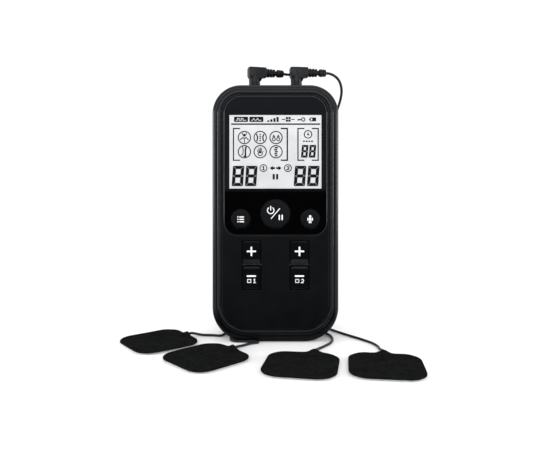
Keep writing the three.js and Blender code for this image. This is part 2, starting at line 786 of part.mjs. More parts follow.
function padSheet(bottom, top, inset) {
  const half = PAD.side / 2 - inset;
  const radius = PAD.corner - inset;
  const outline = roundedOutline({
    left: -half,
    right: half,
    bottom: -half,
    top: half,
    radii: [radius, radius],
    steps: 5,
  });
  const shape = new THREE.Shape(outline.map(([x, y]) => new THREE.Vector2(x, y)));
  const sheet = new THREE.ExtrudeGeometry(shape, { depth: top - bottom, bevelEnabled: false });
  return sheet.translate(0, 0, bottom);
}

// The cloth cover, with the raised ridge over the end of the wire.
function padCover(offset) {
  const ridge = new THREE.CylinderGeometry(PAD.ridge, 0.4, PAD.ridgeLength, 10)
    .translate(offset, (PAD.side - PAD.ridgeLength) / 2, PAD.wireHeight);
  return join(padSheet(PAD.gel + 0.1, PAD.top, 0), ridge);
}

pads.forEach(({ centre, turn, wire, wireOffset = 0 }, i) => {
  const holder = new THREE.Group();
  holder.position.set(centre[0], centre[1], 0);
  holder.rotation.z = THREE.MathUtils.degToRad(turn);
  unit.add(holder);
  piece(`pad_cover_${i + 1}`, "pad_fabric", padCover(wireOffset), holder);
  piece(`pad_gel_${i + 1}`, "gel", padSheet(0, PAD.gel, 0.6), holder);
  holder.updateMatrixWorld(true);
  const start = [GAP, 2.2].map((beyond) =>
    holder.localToWorld(new THREE.Vector3(wireOffset, PAD.side / 2 + beyond, PAD.wireHeight)).toArray(),
  );
  piece(`pad_wire_${i + 1}`, "wire", cord([...start, ...wire], WIRE_DIAMETER, 24));
});

export default unit;
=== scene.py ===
"""Two-channel nerve-stimulation unit with plug-in leads and four electrode pads.

Lengths in this file are millimetres and are turned into metres where meshes are made.
"""
from math import atan2, copysign, cos, exp, pi, radians, sin

import bmesh
import bpy
from mathutils import Matrix, Vector, noise


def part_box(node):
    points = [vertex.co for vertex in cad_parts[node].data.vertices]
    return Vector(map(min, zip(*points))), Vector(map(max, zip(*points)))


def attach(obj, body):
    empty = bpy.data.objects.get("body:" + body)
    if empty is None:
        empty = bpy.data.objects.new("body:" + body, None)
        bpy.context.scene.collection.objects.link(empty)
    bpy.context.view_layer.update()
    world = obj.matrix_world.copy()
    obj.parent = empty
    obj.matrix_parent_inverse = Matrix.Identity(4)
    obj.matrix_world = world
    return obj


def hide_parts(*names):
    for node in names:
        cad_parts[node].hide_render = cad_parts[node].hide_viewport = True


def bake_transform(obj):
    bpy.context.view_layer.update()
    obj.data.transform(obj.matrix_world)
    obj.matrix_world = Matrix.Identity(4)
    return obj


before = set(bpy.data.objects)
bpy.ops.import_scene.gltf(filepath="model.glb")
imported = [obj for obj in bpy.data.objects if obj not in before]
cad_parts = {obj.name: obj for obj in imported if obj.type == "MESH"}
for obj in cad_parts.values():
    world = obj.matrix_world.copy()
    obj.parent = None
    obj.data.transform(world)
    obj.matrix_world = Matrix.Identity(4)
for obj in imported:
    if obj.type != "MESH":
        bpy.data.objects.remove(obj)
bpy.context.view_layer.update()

MM = 0.001
SIDES = (-1, 1)


# ---- sizes shared with the CAD
CASE = {"width": 66.4, "height": 135, "corner": 15, "heel_corner": 18, "heel": 1.45, "wall": 1.8}
LIP = {"inset": 0.95, "rear": 4.4}
CAVITY = {"front": -9.4, "rear": 10.4}
PANEL = {"half": 27, "bottom": 56, "top": 129.1, "top_corner": 9.2, "bottom_corner": 7}
PANEL_DEPTH = (-12.15, -10.7)
LCD = {"half": 24.1, "bottom": 80.5, "top": 119, "front": -12}
ROUND_KEYS = ("key_power", "key_program", "key_body")
KEY_FRONT = -13
SLOT = {"x": 12.5, "half": 5.3, "bottom": 27.6, "top": 53.5}
JACK = {"x": 11.4, "y": 2, "hole": 2.6}
BAY = {"half": 16.9, "bottom": 20.8, "top": 70.8, "front": -0.4, "wall": 1.2}
DOOR = {"half": 18.3, "bottom": 20.5, "top": 71.5, "front": 10.7, "edge": 0.65, "pin": 0.6}
BOSS = {"x": 24.5, "heights": (11.5, 125.2), "radius": 3.1}
PLUG_TURN = (18, 9)
PLUG_AXIS = 143.55
PLUG_REACH = 16.9
LEAD_DIAMETER = 1.5
WIRE_DIAMETER = 1.3
LIFT = 0.1
REST = WIRE_DIAMETER / 2 + LIFT
COIL = {"x": 17, "y": 56, "radius": 8.7, "side": 29.95}
SPLITTER = {"near": 8.5, "far": 15, "half": 1.9, "height": 2.4, "y": 70.1}
CONNECTOR = {"near": 6.5, "middle": 13.75, "far": 21, "height": 1.75}
ROWS = (17, 22)
LANES = (1.1, 2.9)
PAD = {"side": 34.4, "corner": 9, "ridge": 15, "wire_height": 1.7}
GAP = 0.3  # room left round keys, door and display


# ---- materials
class Paint:
    """A material being made: one Principled shader and the textures that drive it."""

    def __init__(self, name, **values):
        self.material = bpy.data.materials.new(name)
        self.material.use_nodes = True
        self.shader = self.material.node_tree.nodes["Principled BSDF"]
        self.place = self.node("ShaderNodeTexCoord", {}, "Object")
        for socket, value in values.items():
            self.shader.inputs[socket.replace("_", " ")].default_value = value

    def node(self, kind, inputs, output, **settings):
        """Adds a node, fills its inputs with links or plain values and returns one output."""
        tree = self.material.node_tree
        added = tree.nodes.new(kind)
        for name, value in settings.items():
            setattr(added, name, value)
        for name, value in inputs.items():
            if isinstance(value, bpy.types.NodeSocket):
                tree.links.new(value, added.inputs[name])
            else:
                added.inputs[name].default_value = value
        return added.outputs[output]

    def noise(self, feature, detail=4.0, distortion=0.0):
        """Noise whose blotches are about feature millimetres across."""
        inputs = {"Scale": 1 / (feature * MM), "Detail": detail, "Distortion": distortion}
        return self.node("ShaderNodeTexNoise", {**inputs, "Vector": self.place}, "Fac")

    def cells(self, feature):
        inputs = {"Scale": 1 / (feature * MM), "Vector": self.place}
        return self.node("ShaderNodeTexVoronoi", inputs, "Distance")

    def bands(self, feature, direction, distortion=0.0):
        inputs = {"Scale": 0.314 / (feature * MM), "Distortion": distortion, "Vector": self.place}
        return self.node("ShaderNodeTexWave", inputs, "Fac", bands_direction=direction)

    def to_range(self, source, span, values):
        """Takes a source from one range of values to another."""
        limits = zip(("From Min", "From Max", "To Min", "To Max"), (*span, *values))
        return self.node("ShaderNodeMapRange", {**dict(limits), "Value": source}, "Result")

    def by_height(self, low, high):
        """Rises from 0 to 1 between two heights in millimetres."""
        height = self.node("ShaderNodeSeparateXYZ", {0: self.place}, "Z")
        return self.to_range(height, (low * MM, high * MM), (0, 1))

    def ramp(self, source, *stops):
        """Colours spread along a 0 to 1 value; stops are (place, (r, g, b))."""
        output = self.node("ShaderNodeValToRGB", {"Fac": source}, "Color")
        elements = output.node.color_ramp.elements
        while len(elements) < len(stops):
            elements.new(0.5)
        for element, (place, colour) in zip(elements, stops):
            element.position = place
            element.color = (*colour, 1)
        return output

    def mixed(self, share, first, second):
        return self.node("ShaderNodeMix", {"Factor": share, 6: first, 7: second}, 2, data_type="RGBA")

    def drive(self, socket, source):
        self.material.node_tree.links.new(source, self.shader.inputs[socket])

    def colour(self, source, *stops):
        self.drive("Base Color", self.ramp(source, *stops))

    def rough(self, source, low, high):
        self.drive("Roughness", self.to_range(source, (0.3, 0.7), (low, high)))

    def bumps(self, *layers):
        """Bump from (height, depth in mm, strength) layers, coarse to fine."""
        normal = {}
        for height, depth, strength in layers:
            inputs = {"Strength": strength, "Distance": depth * MM, "Height": height, **normal}
            normal = {"Normal": self.node("ShaderNodeBump", inputs, "Normal")}
        self.drive("Normal", normal["Normal"])


def moulded(name, dark, light, rough, specular, grain=0.35, depth=0.012):
    """Moulded plastic or rubber: mottled colour, fine spark-eroded grain, uneven gloss."""
    paint = Paint(name, Specular_IOR_Level=specular, Specular_Tint=(0.88, 0.93, 1, 1))
    paint.colour(paint.noise(9), (0.35, dark), (0.65, light))
    paint.rough(paint.noise(5, 6), *rough)
    paint.bumps((paint.noise(grain, 2), depth, 0.5), (paint.cells(grain * 0.6), depth, 0.25))
    return paint.material


def gloss_black():
    """Glossy panel: a clear window over the display above, its paler black a painted reflection of the
    overhead light, and a deeper black round the keys.
    """
    paint = Paint("gloss_black", Specular_IOR_Level=0.006)
    blotches = paint.noise(14)
    deep = paint.ramp(blotches, (0.3, (0.0002, 0.0002, 0.0003)), (0.7, (0.0005, 0.0005, 0.0006)))
    # painted reflection: the black above the display's lower edge is paler, as if it mirrored the overhead
    # light
    clear = paint.ramp(blotches, (0.3, (0.0052, 0.0055, 0.0066)), (0.7, (0.0064, 0.0067, 0.008)))
    paint.drive("Base Color", paint.mixed(paint.by_height(78.5, 81), deep, clear))
    paint.rough(paint.noise(3, 8, 0.6), 0.1, 0.17)
    paint.bumps((paint.noise(18, 1), 0.02, 0.12))
    return paint.material


def display_grey():
    paint = Paint("display_grey", Specular_IOR_Level=0.3, Coat_Weight=0.4, Coat_Roughness=0.12)
    paint.colour(paint.noise(7, 3), (0.3, (0.4, 0.405, 0.41)), (0.7, (0.45, 0.455, 0.46)))
    paint.rough(paint.noise(2), 0.35, 0.5)
    paint.bumps((paint.bands(0.3, "X"), 0.002, 0.2))
    return paint.material


def cloth():
    """Non-woven pad cloth: matted fibres over a faint knit, with paler flecks."""
    paint = Paint("cloth", Specular_IOR_Level=0.0, Sheen_Weight=0.004, Sheen_Roughness=0.6)
    fibres = paint.noise(0.7, 6, 2.5)
    flecks = paint.ramp(fibres, (0.42, (0.0004, 0.0005, 0.0006)), (0.6, (0.016, 0.0165, 0.017)))
    worn = (0.35, (0.0007, 0.0008, 0.0009)), (0.65, (0.005, 0.0054, 0.0056))
    blotches = paint.ramp(paint.noise(4, 3), *worn)
    paint.drive("Base Color", paint.mixed(paint.noise(1.5, 3), flecks, blotches))
    paint.rough(fibres, 0.8, 0.98)
    knit = [(paint.bands(0.8, direction, 1.5), 0.05, 0.35) for direction in "XY"]
    paint.bumps((paint.noise(2.2, 3), 0.25, 0.6), *knit, (fibres, 0.12, 0.9))
    return paint.material


def gel():
    paint = Paint("gel", Specular_IOR_Level=0.5, Subsurface_Weight=0.3, Subsurface_Scale=0.001)
    paint.colour(paint.noise(3), (0.3, (0.3, 0.31, 0.3)), (0.7, (0.42, 0.43, 0.41)))
    paint.rough(paint.noise(1.5), 0.15, 0.3)
    paint.bumps((paint.cells(1.2), 0.04, 0.3))
    return paint.material


def steel():
    paint = Paint("steel", Metallic=1.0)
    paint.colour(paint.noise(2, 5), (0.3, (0.2, 0.2, 0.21)), (0.7, (0.34, 0.34, 0.35)))
    paint.rough(paint.noise(0.8, 6), 0.2, 0.34)
    paint.bumps((paint.bands(0.12, "Z", 3), 0.003, 0.3))
    return paint.material


def cell_jacket():
    """A shrink sleeve: dark body with a pale collar band near the button end."""
    paint = Paint("cell_jacket", Specular_IOR_Level=0.4, Coat_Weight=0.2, Coat_Roughness=0.2)
    sleeve = ((0.0, (0.02, 0.12, 0.2)), (0.78, (0.03, 0.17, 0.27)), (0.8, (0.55, 0.56, 0.55)))
    paint.colour(paint.by_height(24.5, 69), *sleeve)
    paint.rough(paint.noise(3), 0.25, 0.4)
    paint.bumps((paint.noise(1.5), 0.02, 0.3))
    return paint.material


def board():
    """A circuit board's solder mask over wandering copper tracks."""
    paint = Paint("board", Specular_IOR_Level=0.5)
    tracks = paint.bands(1.6, "Z", 6)
    paint.colour(tracks, (0.45, (0.01, 0.09, 0.035)), (0.55, (0.02, 0.16, 0.06)))
    paint.rough(paint.noise(4), 0.3, 0.45)
    paint.bumps((tracks, 0.03, 0.5), (paint.noise(0.3), 0.01, 0.2))
    return paint.material


def winding():
    paint = Paint("winding", Metallic=0.8)
    turns = paint.bands(0.25, "Z")
    paint.colour(turns, (0.2, (0.16, 0.05, 0.02)), (0.7, (0.6, 0.26, 0.11)))
    paint.rough(paint.noise(1), 0.25, 0.4)
    paint.bumps((turns, 0.08, 0.8))
    return paint.material


def floor_paper():
    """Studio paper, a little paler away from the object than under it."""
    paint = Paint("floor_paper", Specular_IOR_Level=0.1)
    blotches = paint.noise(60)
    near = paint.ramp(blotches, (0.3, (0.79, 0.79, 0.795)), (0.7, (0.82, 0.82, 0.825)))
    far = paint.ramp(blotches, (0.3, (0.94, 0.94, 0.945)), (0.7, (0.96, 0.96, 0.965)))
    distance = paint.node("ShaderNodeVectorMath", {0: paint.place}, "Value", operation="LENGTH")
    paint.drive("Base Color", paint.mixed(paint.to_range(distance, (0.3, 0.7), (0, 1)), near, far))
    paint.rough(paint.noise(20), 0.75, 0.9)
    return paint.material


# colours (dark, light) and roughness range of moulded pieces
CASE_LOOK = (0.0014, 0.0016, 0.002), (0.0022, 0.0024, 0.0029), (0.3, 0.4)
BEZEL_LOOK = (0.0022, 0.0024, 0.0029), (0.0034, 0.0037, 0.0043), (0.17, 0.25)
RIM_LOOK = (0.0006, 0.0006, 0.0008), (0.001, 0.001, 0.0012), (0.1, 0.16)
KEY_LOOK = (0.002, 0.0022, 0.0025), (0.003, 0.0032, 0.0036), (0.36, 0.48)
ROCKER_LOOK = (0.001, 0.0011, 0.0013), (0.0018, 0.0019, 0.0022), (0.36, 0.48)
# painted highlight: the rocker slopes are paler so that they look lit
SLOPE_HIGHLIGHT_LOOK = (0.006, 0.0065, 0.0075), (0.014, 0.015, 0.017), (0.4, 0.55)
MEMBRANE_LOOK = (0.09, 0.09, 0.1), (0.13, 0.13, 0.14), (0.6, 0.75)
COMPONENT_LOOK = (0.012, 0.012, 0.013), (0.02, 0.02, 0.021), (0.4, 0.55)
PLUG_LOOK = (0.004, 0.0042, 0.0044), (0.008, 0.0083, 0.0087), (0.3, 0.42)
WIRE_LOOK = (0.003, 0.003, 0.0035), (0.006, 0.006, 0.0065), (0.32, 0.45)
PRINT_LOOK = (0.66, 0.665, 0.67), (0.76, 0.765, 0.77), (0.4, 0.55)
SEGMENT_LOOK = (0.003, 0.003, 0.004), (0.006, 0.006, 0.008), (0.3, 0.4)
TIE_LOOK = (0.02, 0.02, 0.021), (0.035, 0.035, 0.036), (0.5, 0.65)
# painted shade: the bezel reflects less near the floor so its lower edge stays dark: (top of the zone in
# millimetres, specular level)
BEZEL_SHADE_LEVELS = ((8.2, 0.07), (11, 0.11), (14, 0.15), (CASE["height"] + 1, 0.2))

CASE_PLASTIC = moulded("case_plastic", *CASE_LOOK, 0.042)
BEZEL_ZONES = [
    (top, moulded(f"bezel_plastic_{zone}", *BEZEL_LOOK, level, 0.5, 0.004))
    for zone, (top, level) in enumerate(BEZEL_SHADE_LEVELS)
]
PANEL_RIM = moulded("panel_rim", *RIM_LOOK, 0.4, 0.5, 0.002)
KEY_PLASTIC = moulded("key_plastic", *KEY_LOOK, 0.05, 0.25)
ROCKER_PLASTIC = moulded("rocker_plastic", *ROCKER_LOOK, 0.022, 0.25)
ROCKER_SLOPE_HIGHLIGHT = moulded("rocker_slope_highlight", *SLOPE_HIGHLIGHT_LOOK, 0.12, 0.25)
MEMBRANE = moulded("membrane", *MEMBRANE_LOOK, 0.3)
COMPONENT = moulded("component", *COMPONENT_LOOK, 0.4)
PLUG_RUBBER = moulded("plug_rubber", *PLUG_LOOK, 0.14, 0.3, 0.02)
WIRE_RUBBER = moulded("wire_rubber", *WIRE_LOOK, 0.2, 0.5, 0.01)
PRINT_WHITE = moulded("print_white", *PRINT_LOOK, 0.3, 0.2, 0.004)
SEGMENT_BLACK = moulded("segment_black", *SEGMENT_LOOK, 0.03, 0.4, 0.002)
TIE_PAPER = moulded("tie_paper", *TIE_LOOK, 0.3, 0.4, 0.02)
GLOSS_BLACK = gloss_black()
DISPLAY_GREY = display_grey()
CLOTH = cloth()
GEL = gel()
STEEL = steel()
CELL_JACKET = cell_jacket()
BOARD = board()
WINDING = winding()


# ---- mesh helpers
def finish(bm, name, material, stands_for="", body="unit", sharp=35):
    """Turns a bmesh in millimetres into a piece that rides on a body and stands for CAD nodes."""
    bmesh.ops.recalc_face_normals(bm, faces=bm.faces)
    mesh = bpy.data.meshes.new(name)
    bmesh.ops.scale(bm, vec=(MM, MM, MM), verts=bm.verts)
    bm.to_mesh(mesh)
    bm.free()
    piece = bpy.data.objects.new(name, mesh)
    bpy.context.scene.collection.objects.link(piece)
    shade(mesh, sharp)
    mesh.materials.append(material)
    if body:
        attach(piece, body)
    if stands_for:
        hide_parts(*stands_for.split())
    return piece


def build(name, material, stands_for, add, *details, **options):
    """A piece made by one add function."""
    bm = bmesh.new()
    add(bm, *details)
    return finish(bm, name, material, stands_for, **options)


def shade(mesh, sharp):
    mesh.shade_smooth()
    mesh.set_sharp_from_angle(angle=radians(sharp))


def settle(piece, sharp=35):
    """Applies a piece's modifiers to its mesh."""
    bpy.context.view_layer.update()
    evaluated = piece.evaluated_get(bpy.context.evaluated_depsgraph_get())
    mesh = bpy.data.meshes.new_from_object(evaluated)
    piece.modifiers.clear()
    old, piece.data = piece.data, mesh
    bpy.data.meshes.remove(old)
    shade(mesh, sharp)


def combine(piece, operation, tools):
    """Adds the tool solids to a piece or cuts them from it."""
    for tool in tools:
        step = piece.modifiers.new(operation, "BOOLEAN")
        step.operation = operation
        step.object = tool
    settle(piece)
    for tool in tools:
        bpy.data.objects.remove(tool)


def soften(piece, width, angle=50, segments=2):
    """Rounds a piece's crisp edges and evens the shading next to them."""
    rounding = piece.modifiers.new("rounding", "BEVEL")
    rounding.width = width * MM
    rounding.segments = segments
    rounding.limit_method = "ANGLE"
    rounding.angle_limit = radians(angle)
    settle(piece)
    even = piece.modifiers.new("even", "WEIGHTED_NORMAL")
    even.keep_sharp = True


def face_out(piece, material, chosen):
    """Gives the chosen faces of a piece a second material; chosen(normal, centre) is in metres."""
    piece.data.materials.append(material)
    for face in piece.data.polygons:
        if chosen(face.normal, face.center):
            face.material_index = len(piece.data.materials) - 1


def polish(shell, chosen):
    """Gives the chosen faces of a case shell the bezel's plastic, zone by zone; the lower zones reflect less,
    as painted shade.
    """
    floor = -1
    for top, material in BEZEL_ZONES:
        face_out(shell, material, lambda normal, centre:
                 floor <= centre.z / MM < top and chosen(normal, centre))
        floor = top


def box_of(node):
    """A CAD node's lowest and highest corners in millimetres."""
    return [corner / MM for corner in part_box(node)]


def circle(steps):
    """Cosines and sines of evenly spaced directions."""
    angles = (2 * pi * i / steps for i in range(steps))
    return [(cos(angle), sin(angle)) for angle in angles]


def add_rings(bm, rings, endless=False):
    """Skins a row of point rings, and closes both ends or joins the last ring to the first."""
    loops = [[bm.verts.new(point) for point in ring] for ring in rings]
    following = [*loops[1:], loops[0]] if endless else loops[1:]
    for first, second in zip(loops, following):
        for i, vert in enumerate(first):
            j = (i + 1) % len(first)
            bm.faces.new((vert, first[j], second[j], second[i]))
    if not endless:
        bm.faces.new(reversed(loops[0]))
        bm.faces.new(loops[-1])


def rounded_outline(left, right, bottom, top, radii, steps=12):
    """A rectangle with rounded corners; radii are one radius or (top, bottom)."""
    high, low = radii if isinstance(radii, tuple) else (radii, radii)
    corners = (
        (right - high, top - high, high),
        (left + high, top - high, high),
        (left + low, bottom + low, low),
        (right - low, bottom + low, low),
    )
    points = []
    for quarter, (x, z, radius) in enumerate(corners):
        for step in range(steps + 1):
            angle = pi / 2 * (quarter + step / steps)
            points.append((x + radius * cos(angle), z + radius * sin(angle)))
    return points


def add_loft(bm, stations, outline_at):
    """A body through the outlines at (y, inset) stations."""
    add_rings(bm, [[(x, y, z) for x, z in outline_at(inset)] for y, inset in stations])


def add_slab(bm, outline, y0, y1):
    add_rings(bm, [[(x, y, z) for x, z in outline] for y in (y0, y1)])


def add_box(bm, x0, x1, y0, y1, z0, z1):
    add_slab(bm, [(x0, z0), (x1, z0), (x1, z1), (x0, z1)], y0, y1)


def add_lathe(bm, profile, place, steps=32):
    """A turned body: profile is (distance along the axis, radius) and place sets the axis."""
    turns = circle(steps)
    add_rings(bm, [[place @ Vector((r * c, r * s, along)) for c, s in turns] for along, r in profile])


def facing(direction, origin):
    """A placement whose Z axis points along direction."""
    turn = Vector((0, 0, 1)).rotation_difference(Vector(direction))
    return Matrix.Translation(Vector(origin)) @ turn.to_matrix().to_4x4()


def tool_of(add, *details):
    """A cutting solid that rides on nothing and is used up by combine."""
    return build("tool", GLOSS_BLACK, "", add, *details, body=None)


def post(radius, start, end):
    """A plain round cutter from one point to another."""
    axis = Vector(end) - Vector(start)
    return tool_of(add_lathe, [(0, radius), (axis.length, radius)], facing(axis, start))


def posts(radius, places, y0, y1):
    """Round cutters from front to rear at (x, z) places."""
    return [post(radius, (x, y0, z), (x, y1, z)) for x, z in places]


# ---- curves
def spline(points, steps=6):
    """A centripetal Catmull-Rom curve through the points."""
    ends = [Vector(point) for point in points]
    ends = [2 * ends[0] - ends[1], *ends, 2 * ends[-1] - ends[-2]]
    path = []
    for p0, p1, p2, p3 in zip(ends, ends[1:], ends[2:], ends[3:]):
        d0, d1, d2 = ((b - a).length ** 0.5 for a, b in ((p0, p1), (p1, p2), (p2, p3)))
        leave = ((p1 - p0) / d0 - (p2 - p0) / (d0 + d1) + (p2 - p1) / d1) * d1
        arrive = ((p2 - p1) / d1 - (p3 - p1) / (d1 + d2) + (p3 - p2) / d2) * d1
        for step in range(steps):
            t = step / steps
            path.append(
                (2 * t**3 - 3 * t**2 + 1) * p1
                + (t**3 - 2 * t**2 + t) * leave
                + (3 * t**2 - 2 * t**3) * p2
                + (t**3 - t**2) * arrive
            )
    return [*path, ends[-2]]


def smooth_step(value):
    value = min(max(value, 0), 1)
    return value * value * (3 - 2 * value)


def add_tube(bm, path, radius, sides=10):
    """A round section carried along a path without twisting."""
    path = [Vector(point) for point in path]
    across = (path[1] - path[0]).orthogonal().normalized()
    turns = circle(sides)
    rings = []
    for i, centre in enumerate(path):
        along = (path[min(i + 1, len(path) - 1)] - path[max(i - 1, 0)]).normalized()
        across = (across - along * across.dot(along)).normalized()
        other = along.cross(across)
        rings.append([centre + radius * (c * across + s * other) for c, s in turns])
    add_rings(bm, rings)


def lay_wire(name, stands_for, path, connector):
    """A pad or branch wire along a path, with the connector half on its end."""
    wire = build(name, WIRE_RUBBER, stands_for, add_tube, path, WIRE_DIAMETER / 2, sharp=60)
    half = connector_half(*connector)


# ---- camera
def make_camera():
    data = bpy.data.cameras.new("camera")
    data.lens = 37.23
    data.sensor_width = 36
    data.shift_x = -0.0008
    data.shift_y = -0.0969
    data.clip_start = 0.01
    camera = bpy.data.objects.new("camera", data)
    camera.location = (0, -0.3087, 0.08937)
    camera.rotation_euler = (radians(90), 0, 0)
    bpy.context.scene.collection.objects.link(camera)
    bpy.context.scene.camera = camera


make_camera()


# ---- lead cords
COIL_TURNS = 14
COIL_COLUMNS = 4
COIL_PITCH = 1.5
COIL_LAYER = 1.45
COIL_BASE = 1.2
TURN_STEPS = 24


def plug_exit(channel, beyond):
    angle = radians(PLUG_TURN[channel])
    reach = PLUG_REACH + beyond
    x = SIDES[channel] * JACK["x"] + reach * cos(angle)
    return (x, JACK["y"] + reach * sin(angle), PLUG_AXIS - 0.1 * beyond)


def lead_end(side):
    rest = LEAD_DIAMETER / 2 + LIFT
    beside = COIL["side"]
    route = [(26.3, 16.4, 40), (26.8, 19.4, 26), (27.6, 24.2, 14.5), (28.6, 30.5, 6.6), (29.4, 37, 2.4)]
    route += [(beside - 0.3, 43, rest + 0.1), (beside, 49, rest), (beside, COIL["y"], rest)]
    return [(side * x, y, z) for x, y, z in route]


LEAD_ROUTES = (
    [
        (9, 8.8, 143.2), (10.6, 11, 141.6), (10.9, 13.4, 139), (9.8, 15.6, 135.4), (6.7, 17.2, 130),
        (1.6, 18.1, 123), (-4.6, 18.2, 114), (-11, 17.8, 103.5), (-16.8, 17, 91.5), (-21.4, 16.2, 78),
        (-24.6, 15.7, 65), (-26, 15.6, 52.5),
    ],
    [
        (32.4, 6, 142.5), (35, 7.2, 140.4), (36.5, 8.8, 137.6), (37.1, 10.4, 134.2), (36.7, 12.2, 130.2),
        (35.4, 13.8, 125.5), (33.3, 14.9, 119), (30.8, 15.3, 109), (28.2, 15.4, 95), (26.6, 15.4, 80),
        (26, 15.4, 65), (26, 15.6, 52.5),
    ],
)


def coil_track(turn):
    """Radius and height of a turn: bottom layer from the outside in, the next one back out."""
    layer, place = divmod(turn, COIL_COLUMNS)
    column = COIL_COLUMNS - 1 - place if layer % 2 == 0 else place
    radius = COIL["radius"] + (column - (COIL_COLUMNS - 1) / 2) * COIL_PITCH
    return radius, COIL_BASE + layer * COIL_LAYER


def coil_point(side, turns, radius, height):
    """A point after so many turns from the outer side, winding towards the rear first."""
    angle = pi - 2 * pi * turns
    x = COIL["x"] + radius * -cos(angle)
    return (side * x, COIL["y"] + radius * sin(angle), height)


def coil_route(side):
    start = (COIL["side"] - COIL["x"], LEAD_DIAMETER / 2 + LIFT)
    points = []
    for step in range(1, COIL_TURNS * TURN_STEPS + 1):
        turn, phase = divmod(step / TURN_STEPS, 1)
        here = coil_track(min(int(turn), COIL_TURNS - 1))
        after = coil_track(min(int(turn) + 1, COIL_TURNS - 1))
        share = smooth_step((phase - 0.75) / 0.25)
        radius, height = (a + (b - a) * share for a, b in zip(here, after))
        lead_in = smooth_step(step / TURN_STEPS / 0.25)
        radius = start[0] + (radius - start[0]) * lead_in
        height = start[1] + (height - start[1]) * lead_in
        points.append(coil_point(side, step / TURN_STEPS, radius, height))
    radius, height = coil_track(COIL_TURNS - 1)
    final = (SPLITTER["y"] - COIL["y"], SPLITTER["height"] / 2)
    for step in range(1, 9):
        part = step / 8
        out = radius + (final[0] - radius) * smooth_step(part / 0.7)
        down = height + (final[1] - height) * smooth_step((part - 0.45) / 0.55)
        points.append(coil_point(side, COIL_TURNS + part / 4, out, down))
    return [*points, (side * (SPLITTER["far"] - 0.4), SPLITTER["y"], final[1])]


def lead_path(channel):
    side = SIDES[channel]
    exits = [plug_exit(channel, 0), plug_exit(channel, 1.6)]
    uncoiled = spline([*exits, *LEAD_ROUTES[channel], *lead_end(side)])
    return [*uncoiled, *map(Vector, coil_route(side))]


def soft_square(value, power=0.6):
    """Squares off a sine, for sections between a circle and a rectangle."""
    return copysign(abs(value) ** power, value)


def add_splitter(bm, side):
    """The moulded Y where one lead becomes two wires, tapered towards the lead."""
    near, far, y, middle = SPLITTER["near"], SPLITTER["far"], SPLITTER["y"], SPLITTER["height"] / 2
    lead_half = [(far, 0.95), (far - 0.6, 1.15), (far - 2.6, 1.45), (far - 3.6, 1.85)]
    turns = [(soft_square(c), soft_square(s)) for c, s in circle(24)]
    rings = []
    for x, half in (*lead_half, (near + 0.7, SPLITTER["half"]), (near + 0.2, 1.8), (near, 1.5)):
        low = min(half, middle - 0.05)
        rings.append([(side * x, y + half * across, middle + low * up) for across, up in turns])
    add_rings(bm, rings)


def add_tie(bm, side):
    """A flat twist tie round the bundle, its twisted tail lying on top."""
    inner, outer, bottom, top = COIL["radius"] - 3.25, COIL["radius"] + 3.25, 0.22, 6.55
    angle = radians(-60)
    outward = Vector((side * cos(angle), sin(angle), 0))
    along = Vector((-outward.y, outward.x, 0))
    centre = Vector((side * COIL["x"], COIL["y"], 0))
    rings = []
    for grow, offset in ((0.15, -1.5), (0.15, 1.5), (-0.15, 1.5), (-0.15, -1.5)):
        band = rounded_outline(inner - grow, outer + grow, bottom - grow, top + grow, 0.8 + grow, 4)
        rings.append([centre + outward * r + along * offset + Vector((0, 0, z)) for r, z in band])
    add_rings(bm, rings, endless=True)
    for strand in (0, pi):
        tail = []
        for step in range(25):
            twist = strand + step / 24 * 5 * pi
            spot = centre + outward * (COIL["radius"] - 2.5 + step * 0.2)
            tail.append(spot + along * 0.35 * cos(twist) + Vector((0, 0, 7.35 + 0.35 * sin(twist))))
        add_tube(bm, tail, 0.3, 8)


def make_lead(channel):
    number, side = channel + 1, SIDES[channel]
    path = lead_path(channel)
    nodes = f"lead_cord_{number} lead_coil_{number}"
    lead = build(f"lead_{number}", WIRE_RUBBER, nodes, add_tube, path, LEAD_DIAMETER / 2, body=None, sharp=60)
    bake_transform(lead)
    splitter = build(f"splitter_{number}", PLUG_RUBBER, f"lead_splitter_{number}", add_splitter, side)
    tie = build(f"coil_tie_{number}", TIE_PAPER, "", add_tie, side)


# ---- branch wires and connectors
def branch_path(side, row):
    rest = REST
    turn_x = 5.6
    radius = turn_x - LANES[row]
    start = SPLITTER["y"] + (-0.95 if row else 0.95)
    rear, front = start - radius, ROWS[row] + radius

    def arc(middle, first, last, rise):
        points = []
        for step in range(5):
            angle = radians(first + (last - first) * step / 4)
            x, y = turn_x - radius * cos(angle), middle + radius * sin(angle)
            points.append((side * x, y, rest + rise * (step / 4) ** 2))
        return points

    return spline([
        (side * (SPLITTER["near"] + 0.4), start, rest + 0.3),
        (side * (SPLITTER["near"] - 0.3), start, rest + 0.2),
        *arc(rear, 90, 0, 0),
        (side * LANES[row], (rear + front) / 2, rest),
        *arc(front, 0, -90, CONNECTOR["height"] - rest),
        (side * (CONNECTOR["near"] + 0.5), ROWS[row], CONNECTOR["height"]),
    ])


PIN_PROFILE = (
    (0, 0.75), (0.3, 0.95), (0.9, 0.85), (1.2, 1.1), (1.8, 0.95), (2.1, 1.25), (2.7, 1.1),
    (3.1, 1.4), (3.5, 1.45), (6.6, 1.45), (6.9, 1.35), (6.9, 1.0), (7.6, 1.0),
)
SOCKET_PROFILE = (
    (0, 1.15), (0, 1.55), (0.25, 1.65), (0.7, 1.65), (0.9, 1.5), (1.3, 1.5), (1.5, 1.65), (3.8, 1.65),
    (4.2, 1.5), (4.6, 1.2), (5.1, 1.35), (5.5, 1.05), (6, 1.2), (6.4, 0.9), (6.9, 1.0), (7.25, 0.8),
)


def tag_of(channel, row):
    return f"{channel + 1}{'ab'[row]}"


